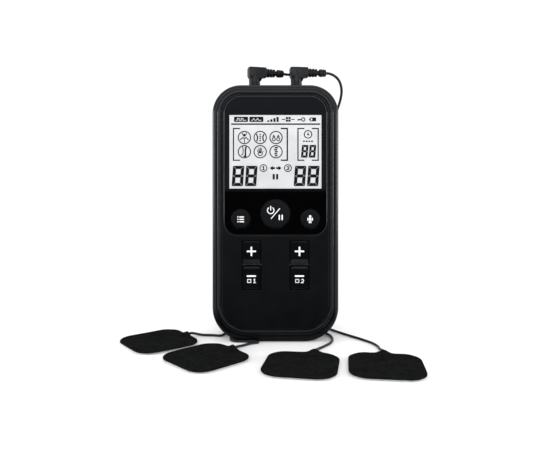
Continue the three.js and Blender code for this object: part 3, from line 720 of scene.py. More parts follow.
def connector_half(kind, channel, row):
    """The pin or the socket half of a pad connector."""
    profile, start = {
        "pin": (PIN_PROFILE, CONNECTOR["near"]),
        "socket": (SOCKET_PROFILE, CONNECTOR["middle"]),
    }[kind]
    side, tag = SIDES[channel], tag_of(channel, row)
    place = facing((side, 0, 0), (side * start, ROWS[row], CONNECTOR["height"]))
    return build(f"{kind}_{tag}", PLUG_RUBBER, f"pad_connector_{tag}", add_lathe, profile, place, 24)


def make_branch(channel, row):
    tag = tag_of(channel, row)
    path = branch_path(SIDES[channel], row)
    lay_wire(f"branch_{tag}", f"branch_wire_{tag}", path, ("pin", channel, row))


# ---- electrode pads
# wire points are (x, y) or (x, y, lift above rest); connector is (channel, row)
PADS = (
    {
        "centre": (-61.05, -11.3), "turn": -53, "offset": 0, "connector": (0, 1),
        "wire": [
            (-39.9, 0.2, 0.1), (-33.9, -0.3), (-29.7, -0.9), (-27.9, 2), (-27.4, 6), (-27.7, 13), (-28.5, 20),
            (-28.5, 24.6), (-27.8, 27.6), (-25.8, 28.7), (-23.9, 27), (-23.7, 24.4, 0.2),
        ],
    },
    {
        "centre": (-33.2, -37.1), "turn": -46.5, "offset": 0, "connector": (0, 0),
        "wire": [
            (-16.9, -19.2, 0.1), (-12.5, -14.9), (-9, -13.1), (-9.6, -11.8), (-11.8, -11.35), (-15, -11.3),
            (-18.6, -11.25), (-21.5, -10.7), (-23.3, -9), (-23.9, -6), (-23.9, 0), (-24, 8), (-24.3, 13.6),
        ],
    },
    {
        "centre": (11.75, -47.8), "turn": -9.7, "offset": 4.5, "connector": (1, 0),
        "wire": [
            (21.2, -24.5), (24.6, -20.2), (28.4, -14.4), (29.9, -9.6), (30.2, -5.2), (29.6, -0.9),
            (27.2, 4.5), (25.8, 9.4), (24.9, 13.6),
        ],
    },
    {
        "centre": (50.5, -49.4), "turn": -6.9, "offset": 0, "connector": (1, 1),
        "wire": [
            (52.2, -24.5, 0.1), (51.9, -19.7), (50, -14.4), (45.9, -8.4), (41.3, -2.7), (37.1, 2.5),
            (33.6, 7.3), (30.2, 12.4), (27.2, 18.2),
        ],
    },
)


def pad_place(pad):
    turn = Matrix.Rotation(radians(pad["turn"]), 4, "Z")
    return Matrix.Translation(Vector((*pad["centre"], 0))) @ turn


def pad_wire_path(pad):
    place, half = pad_place(pad), PAD["side"] / 2
    height = PAD["wire_height"]
    start = [place @ Vector((pad["offset"], half + beyond, height)) for beyond in (-3, -1, 0.3, 2.2)]
    route = [(x, y, REST + sum(lift)) for x, y, *lift in pad["wire"]]
    channel, row = pad["connector"]
    side = SIDES[channel]
    into = (side * (CONNECTOR["far"] + 1.4), ROWS[row], 1.5)
    return spline([*start, *route, into, (side * (CONNECTOR["far"] - 0.4), ROWS[row], CONNECTOR["height"])])


def tent(x, y, offset):
    """How far the cloth is lifted over the end of the wire."""
    along = (PAD["side"] / 2 - y) / PAD["ridge"]
    if along > 1:
        return 0
    width = 2.7 - 1.5 * max(along, 0)
    height = 1.5 * (1 - smooth_step(along)) + 0.25 * (1 - along)
    return height * exp(-(((x - offset) / width) ** 2))


def cloth_height(x, y, pad, seed):
    """Small waves in the cloth, a slight curl at the rim, and the lift over the wire."""
    spot = Vector((x / 9, y / 9, seed * 7.3))
    reach = max(abs(x), abs(y)) / (PAD["side"] / 2)
    curl = 0.25 * smooth_step((reach - 0.75) / 0.25) * (0.5 + noise.noise(spot * 0.6))
    return 0.12 * noise.noise(spot) + curl + tent(x, y, pad["offset"])


def add_pad_layer(bm, pad, levels, inset, seed=None):
    """A closed sheet of rings between two heights, over the pad's rounded square.

    With a seed it is cloth: finer, wavy and lifted over the wire.
    """
    is_cloth = seed is not None
    half, place = PAD["side"] / 2 - inset, pad_place(pad)
    bottom, top = levels
    rim = (top - bottom) / 2
    rings_across = 40 if is_cloth else 12
    outline = rounded_outline(-half, half, -half, half, PAD["corner"] - inset, 10)
    outline = even_outline(outline, 160 if is_cloth else 64)

    def ring(share, level, shrink=0):
        scale = share * (1 - shrink / half)
        points = []
        for x, y in outline:
            px, py = x * scale, y * scale
            rise = cloth_height(px, py, pad, seed) if is_cloth else 0
            points.append(place @ Vector((px, py, level + max(rise, -0.1))))
        return points

    shares = [(i / rings_across) ** 0.9 for i in range(1, rings_across + 1)]
    upper = [ring(share, top, rim * 0.6) for share in shares]
    lower = [ring(share, bottom, rim * 0.6) for share in reversed(shares)]
    edge = [ring(1, top - rim * 0.45, rim * 0.15), ring(1, bottom + rim * 0.45, rim * 0.15)]
    add_rings(bm, [*upper, *edge, *lower])


def even_outline(points, count):
    """The same closed outline with its points evenly spaced."""
    closed = [Vector(point) for point in (*points, points[0])]
    lengths = [(b - a).length for a, b in zip(closed, closed[1:])]
    step, travelled, index = sum(lengths) / count, 0, 0
    even = []
    for i in range(count):
        while index < len(lengths) - 1 and travelled + lengths[index] < i * step:
            travelled += lengths[index]
            index += 1
        share = (i * step - travelled) / max(lengths[index], 1e-9)
        even.append(tuple(closed[index].lerp(closed[index + 1], min(share, 1))))
    return even


def make_pad(index):
    pad, number = PADS[index], index + 1
    layers = ("gel", GEL, (0.02, 0.5), 0.5), ("cover", CLOTH, (0.6, 1.3), 0, number)
    gel_sheet, cover = [
        build(f"{name}_{number}", material, f"pad_{name}_{number}", add_pad_layer, pad, *details, sharp=70)
        for name, material, *details in layers
    ]
    lay_wire(f"wire_{number}", f"pad_wire_{number}", pad_wire_path(pad), ("socket", *pad["connector"]))


for channel in (0, 1):
    make_lead(channel)
    for row in (0, 1):
        make_branch(channel, row)
for index in range(len(PADS)):
    make_pad(index)


# ---- case shells
def case_outline(inset):
    half = CASE["width"] / 2 - inset
    corners = (CASE["corner"] - inset, CASE["heel_corner"] - inset)
    return rounded_outline(-half, half, inset * CASE["heel"], CASE["height"] - inset, corners, 16)


def front_profile():
    """Stations from the face outwards: face edge, groove, round ridge, groove, round shoulder."""
    stations = [(-12, 5.5), (-11.94, 5.32), (-11.75, 5.2), (-11.2, 5.12), (-11.1, 4.95), (-11.1, 4.78)]
    for angle in range(15, 180, 15):
        turn = radians(angle)
        stations.append((-11.1 - 0.82 * sin(turn), 3.75 + cos(turn)))
    stations += [(-10.8, 2.74), (-10.6, 2.66), (-10.6, 2.44), (-10.75, 2.34)]
    for angle in range(0, 91, 10):
        turn = radians(angle)
        stations.append((-8.8 - 2.2 * cos(turn), 2.15 * (1 - sin(turn))))
    return [*stations, (2.75, 0), (2.9, 0.15)]


def rear_profile():
    stations = [(3.05, 0.15), (3.2, 0)]
    for angle in range(0, 91, 10):
        turn = radians(angle)
        stations.append((8.6 + 3.4 * sin(turn), 3.2 * (1 - cos(turn))))
    return stations


def key_places():
    """Centre and radius in millimetres of each round key's cap, from the CAD."""
    places = {}
    for name in ROUND_KEYS:
        low, high = box_of(name)
        places[name] = ((low.x + high.x) / 2, (low.z + high.z) / 2, (high.x - low.x) / 2 - 0.9)
    return places


def panel_outline(grow):
    half = PANEL["half"] + grow
    radii = (PANEL["top_corner"] + grow, PANEL["bottom_corner"] + grow)
    return rounded_outline(-half, half, PANEL["bottom"] - grow, PANEL["top"] + grow, radii, 14)


def lcd_tool(grow, y0, y1):
    half = LCD["half"] + grow
    return tool_of(add_box, -half, half, y0, y1, LCD["bottom"] - grow, LCD["top"] + grow)


def slot_tool(side):
    left, right = side * SLOT["x"] - SLOT["half"], side * SLOT["x"] + SLOT["half"]
    return tool_of(add_slab, rounded_outline(left, right, SLOT["bottom"], SLOT["top"], 1, 5), -13, -8.4)


def key_holes(y0, y1):
    return [post(radius + GAP, (x, y0, z), (x, y1, z)) for x, z, radius in key_places().values()]


def jack_tools():
    x, y, height = JACK["x"], JACK["y"], CASE["height"]
    return [post(JACK["hole"], (side * x, y, height - 4), (side * x, y, height + 1)) for side in SIDES]


def boss_places():
    return [(side * BOSS["x"], height) for side in SIDES for height in BOSS["heights"]]


def front_shell():
    shell = build("case_front", CASE_PLASTIC, "front_shell", add_loft, front_profile(), case_outline)
    lip, rear, wall = LIP["inset"], LIP["rear"], CASE["wall"]
    combine(shell, "UNION", [tool_of(add_loft, [(0, lip), (rear, lip)], case_outline)])
    cavity = tool_of(add_loft, [(CAVITY["front"], wall + 1), (-8.4, wall), (rear + 1, wall)], case_outline)
    holes = key_holes(-12.5, -8.4)
    recess = tool_of(add_slab, panel_outline(GAP), -13, -10.6)
    tools = [cavity, recess, lcd_tool(GAP, -13, -8.4), *holes, *map(slot_tool, SIDES), *jack_tools()]
    combine(shell, "DIFFERENCE", tools)
    soften(shell, 0.1, 60)
    polish(shell, lambda normal, centre: -0.97 < normal.y < -0.03 or normal.y < -0.5 and centre.y > -0.01194)


def door_bar(radius, beyond):
    """A round bar along the door's hinge line, reaching past both ends of the door."""
    half, y, z = DOOR["half"] + beyond, DOOR["front"] + DOOR["edge"], DOOR["bottom"] + DOOR["edge"]
    return post(radius, (-half, y, z), (half, y, z))


def rear_shell():
    shell = build("case_rear", CASE_PLASTIC, "rear_shell", add_loft, rear_profile(), case_outline)
    cavity = tool_of(add_loft, [(2.1, CASE["wall"]), (9, CASE["wall"]), (CAVITY["rear"], 3.4)], case_outline)
    inset, depth = LIP["inset"] - 0.15, LIP["rear"] + 0.15
    groove = tool_of(add_loft, [(2, inset), (depth, inset)], case_outline)
    combine(shell, "DIFFERENCE", [cavity, groove])
    half, bottom, top, front, wall = (BAY[size] for size in ("half", "bottom", "top", "front", "wall"))
    box = tool_of(add_box, -half - wall, half + wall, front - wall, 10.9, bottom - wall, top + wall)
    combine(shell, "UNION", [box, *posts(BOSS["radius"], boss_places(), 3.2, 10.9)])
    inside = tool_of(add_box, -half, half, front, 13, bottom, top)
    grown, low, high = DOOR["half"] + GAP, DOOR["bottom"] - GAP, DOOR["top"] + GAP
    doorway = tool_of(add_box, -grown, grown, DOOR["front"] - GAP, 13, low, high)
    pins = door_bar(DOOR["pin"] + GAP, 1.4)
    wells, shanks = posts(2.6, boss_places(), 9, 13), posts(1.3, boss_places(), 2, 9.5)
    combine(shell, "DIFFERENCE", [inside, doorway, pins, *wells, *shanks, *jack_tools()])
    soften(shell, 0.12, 60)
    polish(shell, lambda normal, centre: 0.03 < abs(normal.y) < 0.6)


def battery_door():
    hinge_z = DOOR["bottom"] + DOOR["edge"]
    stations = [(DOOR["front"], 0), (11.6, 0), (11.85, 0.08), (11.97, 0.22), (12, 0.45)]

    def outline(inset):
        half = DOOR["half"] - inset
        return rounded_outline(-half, half, hinge_z, DOOR["top"] - inset, (0.6, 0.05), 4)

    door = build("door", CASE_PLASTIC, "battery_door", add_loft, stations, outline, body="battery_door")
    combine(door, "UNION", [door_bar(DOOR["edge"], 0), door_bar(DOOR["pin"], 1)])
    grooves = [
        tool_of(add_slab, rounded_outline(-7, 7, row - 0.5, row + 0.5, 0.49, 6), 11.5, 13)
        for row in (63.5, 65.5, 67.5)
    ]
    arrow = tool_of(add_slab, [(-2.4, 60.6), (0, 58.2), (2.4, 60.6)], 11.7, 13)
    combine(door, "DIFFERENCE", [*grooves, arrow])
    soften(door, 0.1, 60)


def fascia():
    """The glossy panel round the display and the three round keys."""
    front, rear = PANEL_DEPTH
    edge = [(0, 0.42), (0.03, 0.26), (0.1, 0.12), (0.22, 0.03), (0.36, 0), (rear - front, 0)]
    stations = [(front + depth, -inset) for depth, inset in edge]
    panel = build("fascia", GLOSS_BLACK, "display_window", add_loft, stations, panel_outline)
    combine(panel, "DIFFERENCE", [lcd_tool(0, -13, -10), *key_holes(-13, -10)])
    soften(panel, 0.08, 60)
    face_out(panel, PANEL_RIM, lambda normal, centre: normal.y > -0.985)


front_shell()
rear_shell()
battery_door()
fascia()


# ---- printed marks
class Marks:
    """Thin printed marks on a plane facing the viewer, drawn about a centre."""

    def __init__(self, centre, front, depth=0.05, bm=None):
        self.bm = bmesh.new() if bm is None else bm
        self.centre = centre
        self.front = front
        self.span = (front - 0.03, front + depth)

    def around(self, x, z):
        """The same marks, drawn about another centre."""
        return Marks((self.centre[0] + x, self.centre[1] + z), self.front, bm=self.bm)

    def fill(self, outline):
        x, z = self.centre
        add_slab(self.bm, [(x + px, z + pz) for px, pz in outline], *self.span)

    def line(self, width, *points, closed=False):
        """A stroke of even width through the points."""
        count = len(points)
        left, right = [], []
        for i, (px, pz) in enumerate(points):
            before = points[i - 1] if closed or i else points[i]
            after = points[(i + 1) % count] if closed or i + 1 < count else points[i]
            first = Vector((px - before[0], pz - before[1])).normalized()
            second = Vector((after[0] - px, after[1] - pz)).normalized()
            first = first if first.length else second
            second = second if second.length else first
            across = Vector((-(first + second).y, (first + second).x)).normalized()
            reach = width / 2 / max(across.dot(Vector((-first.y, first.x))), 0.4)
            left.append((px + across.x * reach, pz + across.y * reach))
            right.append((px - across.x * reach, pz - across.y * reach))
        for i in range(count if closed else count - 1):
            j = (i + 1) % count
            self.fill([left[i], right[i], right[j], left[j]])

    def arc(self, centre, radius, width, first=0, last=360, steps=32):
        x, z = centre
        closed = last - first == 360
        angles = [radians(first + (last - first) * i / steps) for i in range(steps + (not closed))]
        points = [(x + radius * cos(a), z + radius * sin(a)) for a in angles]
        self.line(width, *points, closed=closed)

    def disc(self, centre, radius, steps=20):
        self.fill([(centre[0] + radius * c, centre[1] + radius * s) for c, s in circle(steps)])

    def bar(self, centre, width, height, corner=None):
        corner = min(width, height) / 2 * 0.98 if corner is None else corner
        x, z = centre
        self.fill(rounded_outline(x - width / 2, x + width / 2, z - height / 2, z + height / 2, corner, 6))

    def cross(self, arm, half):
        """An upright cross with rounded ends, as one outline."""
        soft = half * 0.55
        quarter = [(arm, -half + soft), (arm, half - soft), (arm - soft, half)]
        quarter += [(half, half), (half, arm - soft), (half - soft, arm)]
        outline = []
        for _ in range(4):
            outline += quarter
            quarter = [(-z, x) for x, z in quarter]
        self.fill(outline)

    def digit(self, corner, width, height, stroke, slant=0.07):
        """A seven-segment 8 whose lower left corner is at corner; thin gaps part its segments."""
        gap, half, middle = stroke * 0.05, stroke / 2, height / 2
        foot = [(gap, 0), (width - gap, 0), (width - stroke - gap, stroke), (stroke + gap, stroke)]
        waist = [(half + gap, middle), (stroke, middle - half), (width - stroke, middle - half)]
        waist += [(width - half - gap, middle), (width - stroke, middle + half), (stroke, middle + half)]
        lower = [(0, gap), (stroke, stroke + gap), (stroke, middle - half - gap)]
        lower += [(half, middle - gap), (0, middle - gap)]
        segments = [foot, waist, lower]
        segments += [[(x, height - z) for x, z in reversed(outline)] for outline in (foot, lower)]
        segments.append([(width - x, z) for x, z in reversed(lower)])
        segments.append([(width - x, height - z) for x, z in lower])
        for outline in segments:
            self.fill([(corner[0] + x + slant * z, corner[1] + z) for x, z in outline])

    def piece(self, name, material, body="unit"):
        return finish(self.bm, name, material, "", body, sharp=30)


MODE_BOXES = (-17.95, -9.95)


def display_sheet(front):
    return Marks((0, (LCD["bottom"] + LCD["top"]) / 2), front)


def mode_waves():
    """Pale pulse shapes in the two mode boxes: square pulses, then triangular ones."""
    marks = display_sheet(LCD["front"] - 0.03)
    square = [(-2.7, 0), (-1.9, 0), (-1.9, 1), (-1, 1), (-1, 0), (0.1, 0), (0.1, 1), (1, 1), (1, 0), (2.6, 0)]
    triangle = [(-2.7, 0), (-2, 0), (-1.4, 1), (-0.8, 0), (0, 0), (0.6, 1), (1.2, 0), (2.6, 0)]
    for centre, wave in zip(MODE_BOXES, (square, triangle)):
        marks.around(centre, 16.45).line(0.3, *wave)
    marks.piece("display_waves", DISPLAY_GREY)


def status_row(marks):
    """Mode boxes, level bars, electrode, lock and battery symbols along the top."""
    for x in MODE_BOXES:
        marks.bar((x, 16.95), 7.3, 2.7, 0.4)
    for step in range(4):
        marks.bar((-3.7 + step * 1.6, 16 + step * 0.3), 1.1, 0.8 + step * 0.6, 0.1)
    for centre in ((6, 17.6), (7.35, 17.6), (6, 16.25), (7.35, 16.25)):
        marks.bar(centre, 1.15, 1.15, 0.3)
    marks.line(0.45, (3.4, 16.9), (5.2, 16.9))
    marks.line(0.45, (8.2, 16.9), (10, 16.9))
    marks.arc((14.5, 16.85), 0.85, 0.5, steps=20)
    marks.line(0.5, (13.7, 16.85), (11.8, 16.85), (11.8, 16.2))
    marks.line(0.45, (12.7, 16.85), (12.7, 16.3))
    marks.line(0.4, (18.2, 17.7), (21, 17.7), (21, 16.1), (18.2, 16.1), closed=True)
    marks.bar((20.1, 16.9), 1.8, 1.5, 0.05)
    marks.bar((17.75, 16.9), 0.5, 0.8, 0.05)
    marks.line(0.75, (-23.1, 14.45), (23.3, 14.45))


def brackets(marks, left, right, arm, strokes):
    top, bottom = 12.15, -4.4
    for x, reach, stroke in ((left, arm, strokes[0]), (right, -arm, strokes[1])):
        marks.line(stroke, (x + reach, top), (x, top), (x, bottom), (x + reach, bottom))


def figure_shoulders(marks):
    marks.disc((0, 1.2), 0.75)
    for side in SIDES:
        marks.line(0.4, (side, 2.6), (side, 1.4))
    marks.line(0.5, (-2.2, -1.3), (-0.9, 0), (0, -0.5), (0.9, 0), (2.2, -1.3))
    marks.line(0.4, (0, -0.5), (0, -2.8))


def figure_back(marks):
    for side in SIDES:
        marks.line(0.65, (side * 2, 1.9), (side * 1.3, 0.2), (side * 1.8, -2))
    for step in range(4):
        marks.bar((0, 1.5 - step * 1.05), 0.8, 0.65, 0.15)


def figure_feet(marks):
    for side in SIDES:
        marks.arc((side * 1.15, -0.9), 0.8, 0.45, steps=16)
        marks.line(0.5, (side * 1.7, 0.2), (side * 1.2, 1.1), (side * 0.6, 0.1))


def figure_leg(marks):
    marks.line(0.45, (-0.9, 2.7), (-0.6, 0.5), (-0.8, -1.2), (-1.7, -1.9))
    marks.line(0.8, (0.9, 2.7), (0.5, 0.5), (0.6, -2.4), (-0.5, -2.4))


def figure_hand(marks):
    for spread, height in ((-1.5, 0.9), (-0.75, 1.9), (0, 2.2), (0.75, 1.9), (1.6, 0.3)):
        marks.line(0.42, (spread * 0.5, -0.8), (spread, height))
    marks.arc((0, -0.9), 1.15, 0.45, 170, 370, 14)


def figure_spine(marks):
    for step in range(5):
        marks.bar((0.15 * (-1) ** step, 2.1 - step * 1.05), 1.8 - 0.12 * step, 0.75, 0.2)


def body_grid(marks):
    """Six round treatment symbols in two rows."""
    figures = (figure_shoulders, figure_back, figure_feet, figure_leg, figure_hand, figure_spine)
    for index, figure in enumerate(figures):
        row, column = divmod(index, 3)
        symbol = marks.around(-16.2 + column * 8.25, 7.45 - row * 7.4)
        symbol.arc((0, 0), 3.2, 0.52, steps=40)
        figure(symbol)


def clock(marks):
    marks.arc((0, 0), 1.95, 0.5)
    marks.disc((0, 0), 0.5)
    marks.line(0.32, (0, 1.2), (0, 0), (0.9, -0.4))


def small_digit(marks, height, stroke, digit):
    """A plain 1 or 2 drawn as one stroke."""
    half, wide = height / 2 - stroke / 2, height * 0.27
    if digit == 1:
        foot = (wide * 0.1, -half)
        marks.line(stroke, (-wide * 0.8, half * 0.45), (wide * 0.1, half), foot)
        marks.bar(foot, wide * 2.2, stroke, 0.05)
        return
    bow = [(-wide * cos(a), half - wide + wide * sin(a)) for a in (0.3, 0.9, 1.57, 2.3, 3, 3.7)]
    marks.line(stroke, *bow, (-wide, -half), (wide, -half))


def channel_row(marks):
    """Ringed 1 and 2 with arrows between, over a pause symbol."""
    for digit, x in ((1, -6.25), (2, 6.5)):
        ring = marks.around(x, -8.5)
        ring.arc((0, 0), 1.8, 0.45)
        small_digit(ring, 2.2, 0.5, digit)
    for side, tip in ((-1, -3), (1, 3.2)):
        marks.fill([(tip, -8.5), (tip - side * 1.6, -7.3), (tip - side * 1.6, -9.7)])
        marks.line(1, (tip - side * 1.5, -8.5), (tip - side * 2.8, -8.5))
    for side in SIDES:
        marks.bar((side * 0.9, -13), 1.1, 2.9, 0.1)


def display_marks():
    marks = display_sheet(LCD["front"])
    status_row(marks)
    brackets(marks, -21.9, 6.2, 3.4, (0.6, 0.72))
    brackets(marks, 11.75, 22.3, 3.3, (0.6, 0.62))
    body_grid(marks)
    clock(marks.around(17, 9.1))
    for x in (14.9, 16.3, 17.7, 19.1):
        marks.bar((x, 5.5), 0.95, 0.75, 0.15)
    for x in (13.3, 17.35):
        marks.digit((x, -3.05), 3.4, 6.65, 1.15, slant=0.08)
    for x in (-22.85, -15.95, 9.5, 16.4):
        marks.digit((x, -17.9), 5.9, 10.6, 1.7)
    channel_row(marks)
    marks.piece("display_segments", SEGMENT_BLACK)
    mode_waves()


display_marks()


# ---- keys
def round_key(name, x, z, radius):
    """A cap with a nearly flat crown, rounded rim and a retaining flange behind."""
    crown = [(0, 0.05), (0, 0.62 * radius), (0.03, 0.8 * radius), (0.09, 0.9 * radius)]
    rim = [(0.2, radius - 0.25), (0.42, radius - 0.06), (0.7, radius)]
    shank = [(3.88, radius), (3.9, radius + 0.9), (4.5, radius + 0.9), (4.5, 0.05)]
    place = facing((0, 1, 0), (x, KEY_FRONT, z))
    build(f"{name}_cap", KEY_PLASTIC, name, add_lathe, [*crown, *rim, *shank], place, 72, body=name, sharp=40)


def power_marks(marks):
    """A ring with a bar, a slash and a pause symbol."""
    marks.arc((-2.45, 1.75), 1.7, 0.45, 122, 418, 28)
    marks.bar((-2.45, 2.9), 0.45, 2.5)
    marks.line(0.42, (-2.3, -2.6), (2.3, 2.8))
    marks.bar((2, -1.9), 0.66, 2.8)
    marks.bar((3.5, -1.9), 0.66, 2.8)


def program_marks(marks):
    """A plain list symbol."""
    for row in (-1.25, 0, 1.25):
        marks.bar((0.5, row), 2.5, 0.55)
        marks.disc((-1.45, row), 0.34)


def body_marks(marks):
    """A plain standing figure."""
    marks.disc((0, 1.55), 0.62)
    marks.bar((0, 0.05), 1.35, 1.7, 0.4)
    for side in SIDES:
        marks.bar((side * 1.15, 0.1), 0.5, 1.6)
        marks.bar((side * 0.4, -1.2), 0.55, 1.7)


def add_wedge(bm, place):
    add_box(bm, -6, 6, -2, 0, -6, 6)
    bm.transform(place)


def channel_key(name, bottom, top, chamfer_edge, slope):
    """A rocker half: rounded cap, its inner edge cut to a slope, with a flange behind."""
    low, high = box_of(name)
    x, front, half = (low.x + high.x) / 2, KEY_FRONT + 0.1, 4.5
    stations = [(front, 0.32), (front + 0.05, 0.18), (front + 0.16, 0.06), (front + 0.32, 0), (-8.6, 0)]

    def outline(inset):
        corner = 1.3 - inset
        return rounded_outline(x - half + inset, x + half - inset, bottom + inset, top - inset, corner, 6)

    cap = build(f"{name}_cap", ROCKER_PLASTIC, name, add_loft, stations, outline, body=name)
    turn = Matrix.Rotation(copysign(atan2(1.1, abs(slope)), slope), 4, "X")
    combine(cap, "DIFFERENCE", [tool_of(add_wedge, Matrix.Translation((x, front, chamfer_edge)) @ turn)])
    soften(cap, 0.09, 35)
    # Painted highlight: the sloped faces take a paler, glossier plastic so that they look lit.
    face_out(cap, ROCKER_SLOPE_HIGHLIGHT, lambda normal, centre: normal.y < -0.6 and abs(normal.z) > 0.3)
    build(f"{name}_flange", KEY_PLASTIC, "", add_box, x - 6, x + 6, -9.1, -8.5, low.z, high.z, body=name)
    return x, front


def channel_marks(number):
    name = f"key_ch{number}_up"
    x, front = channel_key(name, 41.1, 53.1, 43.7, 2.6)
    plus = Marks((x, 47.95), front)
    plus.cross(2.45, 0.42)
    plus.piece(f"{name}_mark", PRINT_WHITE, name)
    name = f"key_ch{number}_down"
    x, front = channel_key(name, 28.5, 40, 39, -1)
    minus = Marks((x, 35.1), front)
    minus.bar((0, 0), 4.9, 0.8, 0.35)
    minus.line(0.32, (-2, -1.75), (-0.3, -1.75), (-0.3, -3.35), (-2, -3.35), closed=True)
    small_digit(minus.around(1.6, -2.55), 2.2, 0.4, number)
    minus.piece(f"{name}_mark", PRINT_WHITE, name)


def make_keys():
    symbols = ((power_marks, 0), (program_marks, -0.3), (body_marks, -0.3))
    for (name, (x, z, radius)), (draw, rise) in zip(key_places().items(), symbols):
        round_key(name, x, z, radius)
        marks = Marks((x, z + rise), KEY_FRONT)
        draw(marks)
        marks.piece(f"{name}_mark", PRINT_WHITE, name)
    for number in (1, 2):
        channel_marks(number)


make_keys()


# ---- lead plugs
# stations along the head: (place, half width, bottom, top)
HEAD_STATIONS = (
    (-3.45, 2.3, 141.2, 145.9), (-3.3, 2.75, 140.6, 146.3), (-2.9, 2.95, 140.1, 146.45), (0, 3, 139.8, 146.5),
    (2.4, 3, 139.4, 146.5), (3.15, 2.95, 138.8, 146.5), (3.5, 2.9, 139.6, 146.5), (4.1, 2.85, 140.2, 146.5),
    (5, 2.8, 140.55, 146.48), (6.1, 2.75, 140.7, 146.45), (6.3, 2.5, 140.9, 146.2),
)
GRIP_PROFILE = (
    (5.2, 2.35), (6.1, 2.45), (6.5, 2.45), (6.7, 2.1), (7.1, 2.1), (7.3, 2.42), (8.1, 2.38), (8.3, 2.02),
    (8.7, 2.02), (8.9, 2.34), (9.8, 2.3), (10, 1.95), (10.4, 1.95), (10.6, 2.25), (11.3, 2.2), (11.5, 1.6),
    (11.65, 1.35), (12.35, 1.35), (12.5, 1.6), (12.75, 1.95), (13.2, 2.15), (13.9, 2.18), (14.4, 2.1),
    (14.5, 1.9), (14.85, 1.88), (14.95, 2.1), (15.9, 2), (16.35, 1.8), (16.6, 1.35), (16.75, 0.8),
)
PLUG_PIN = (
    (123.5, 0.3), (123.7, 0.8), (124.8, 1.25), (126, 0.95), (126.5, 0.95), (126.9, 1.25), (136.2, 1.25),
)


def rounded_rib(x, half, height):
    """The outline of a low rib across the back of a plug's head."""
    tall = 0.36 if x > -3.6 else 0.2
    return [(x, y, z) for y, z in rounded_outline(-half, half, height - tall, height + tall, tall * 0.98, 4)]


def stem_profile():
    """The stem, from just above the case into the head, with two shallow grip rings."""
    profile = [(135.35, 2.7), (135.45, 3), (135.7, 3.1)]
    for base in (136.4, 137.6):
        profile += [(base, 3.1), (base + 0.12, 2.92), (base + 0.4, 2.92), (base + 0.52, 3.1)]
    return [*profile, (144, 3.1), (145, 2.6)]


def add_plug(bm, place):
    """Head over the stem, flat on top, ribbed at its back and filleted under the arm; stem; grip."""
    turns = [(soft_square(c, 0.42), soft_square(s, 0.42)) for c, s in circle(32)]
    rings = []
    for x, half, low, high in HEAD_STATIONS:
        middle, tall = (low + high) / 2, (high - low) / 2
        rings.append([(x, half * across, middle + tall * up) for across, up in turns])
    add_rings(bm, rings)
    for height in (141.8, 143.3, 144.8):
        add_rings(bm, [rounded_rib(x, half, height) for x, half in ((-3, 2.5), (-3.5, 2.45), (-3.62, 2.2))])
    add_lathe(bm, stem_profile(), Matrix.Identity(4), 40)
    add_lathe(bm, GRIP_PROFILE, facing((1, 0, 0), (0, 0, PLUG_AXIS)), 36)
    bm.transform(place)


def make_plug(channel):
    number = channel + 1
    name = f"lead_plug_{number}"
    place = Matrix.Translation((SIDES[channel] * JACK["x"], JACK["y"], 0))
    place = place @ Matrix.Rotation(radians(PLUG_TURN[channel]), 4, "Z")
    build(f"plug_body_{number}", PLUG_RUBBER, name, add_plug, place, body=name, sharp=30)
    build(f"plug_pin_{number}", STEEL, "", add_lathe, PLUG_PIN, place, 28, body=name)


for channel in (0, 1):
    make_plug(channel)


# ---- battery bay and screws
CELLS = (1, 2, 3)


def cell_place(number):
    """A cell's box and the x and y of its axis."""
    low, high = box_of(f"battery_cell_{number}")
    return low, high, (low.x + high.x) / 2, (low.y + high.y) / 2


def make_cells():
    for number in CELLS:
        low, high, x, y = cell_place(number)
        radius, top = (high.x - low.x) / 2, high.z - low.z
        place = facing((0, 0, 1), (x, y, low.z))
        can = [(0, 0.1), (0, 4.2), (0.15, radius - 0.3), (0.4, radius)]
        can += [(top - 1.5, radius), (top - 1.2, radius - 0.25), (top - 1.1, 0.1)]
        build(f"cell_{number}", CELL_JACKET, f"battery_cell_{number}", add_lathe, can, place, 40)
        button = [(1.15, 3.4), (1, 3.3), (0.95, 1.9), (0.1, 1.8), (0, 1.6), (0, 0.1)]
        button = [(top - down, radius) for down, radius in button]
        build(f"cell_button_{number}", STEEL, "", add_lathe, button, place, 32)


def add_springs(bm):
    """Tapered contact springs under the cells, on their plate."""
    low, high = box_of("battery_contacts_bottom")
    add_box(bm, low.x, high.x, low.y, high.y, low.z, low.z + 0.4)
    for number in CELLS:
        *_, x, y = cell_place(number)
        helix = []
        for step in range(73):
            turn = step / 24
            radius, angle = 3.1 - 0.45 * turn, 2 * pi * turn
            height = low.z + 0.65 + (high.z - low.z - 0.95) * turn / 3
            helix.append((x + radius * cos(angle), y + radius * sin(angle), height))
        add_tube(bm, helix, 0.25, 8)


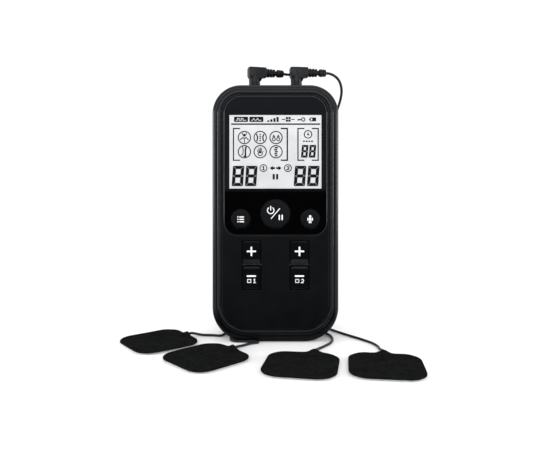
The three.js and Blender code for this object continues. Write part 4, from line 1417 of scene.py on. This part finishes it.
def make_screws():
    """Pan heads with a cross recess, at the bottom of their wells."""
    for number, (x, z) in enumerate(boss_places(), 1):
        low, high = box_of(f"case_screw_{number}")
        rear, length = high.y, high.y - low.y
        place = facing((0, -1, 0), ((low.x + high.x) / 2, rear, (low.z + high.z) / 2))
        head = [(0, 0.1), (0, 1.5), (0.15, 2), (0.5, 2.3), (1.5, 2.3), (1.5, 1)]
        profile = [*head, (length - 0.8, 1), (length, 0.2)]
        screw = build(f"screw_{number}", STEEL, f"case_screw_{number}", add_lathe, profile, place, 36)
        slots = ((1.4, 0.3), (0.3, 1.4))
        cross = [tool_of(add_box, x - w, x + w, rear - 0.8, rear + 1, z - h, z + h) for w, h in slots]
        combine(screw, "DIFFERENCE", cross)


make_cells()
build("cell_springs", STEEL, "battery_contacts_bottom", add_springs)
make_screws()


# ---- CAD nodes that keep their shape
CAD_MATERIALS = (
    (DISPLAY_GREY, "lcd_glass lcd_backlight"),
    (MEMBRANE, "keypad_membrane"),
    (BOARD, "circuit_board"),
    (COMPONENT, "microcontroller capacitor buzzer jack_socket_1 jack_socket_2"),
    (WINDING, "output_transformer_1 output_transformer_2"),
    (STEEL, "battery_contacts_top"),
)
for material, names in CAD_MATERIALS:
    for name in names.split():
        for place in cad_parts[name].material_slots:
            place.material = material


# ---- floor and light
def make_floor():
    bm = bmesh.new()
    bmesh.ops.create_grid(bm, x_segments=8, y_segments=8, size=2400)
    floor = finish(bm, "floor", floor_paper(), body=None)
    floor.location.z = -0.00002


def make_world():
    world = bpy.data.worlds.new("studio")
    world.use_nodes = True
    sky = world.node_tree.nodes["Background"]
    sky.inputs["Color"].default_value = (1, 1, 1, 1)
    sky.inputs["Strength"].default_value = 1.08
    bpy.context.scene.world = world
    bpy.context.scene.view_settings.view_transform = "Standard"


def softbox(name, place, target, size, radiance):
    """A soft area light; radiance is how bright its face looks next to the white surroundings."""
    data = bpy.data.lights.new(name, "AREA")
    data.shape = "RECTANGLE"
    data.size, data.size_y = size
    data.energy = radiance * pi * size[0] * size[1]
    lamp = bpy.data.objects.new(name, data)
    lamp.location = place
    aim = Vector(target) - Vector(place)
    lamp.rotation_euler = aim.to_track_quat("-Z", "Y").to_euler()
    lamp.visible_camera = False
    bpy.context.scene.collection.objects.link(lamp)


def make_lights():
    softbox("front_box", (0, -1.3, 0.55), (0, 0, 0.55), (1.4, 0.7), 3.4)
    softbox("top_box", (0, -0.1, 1.2), (0, 0, 0), (0.9, 0.7), 1.2)
    for side in SIDES:
        softbox(f"side_strip_{side + 1}", (side * 0.7, -0.1, 0.13), (0, -0.1, 0.13), (0.4, 0.24), 12)


make_floor()
make_world()
make_lights()
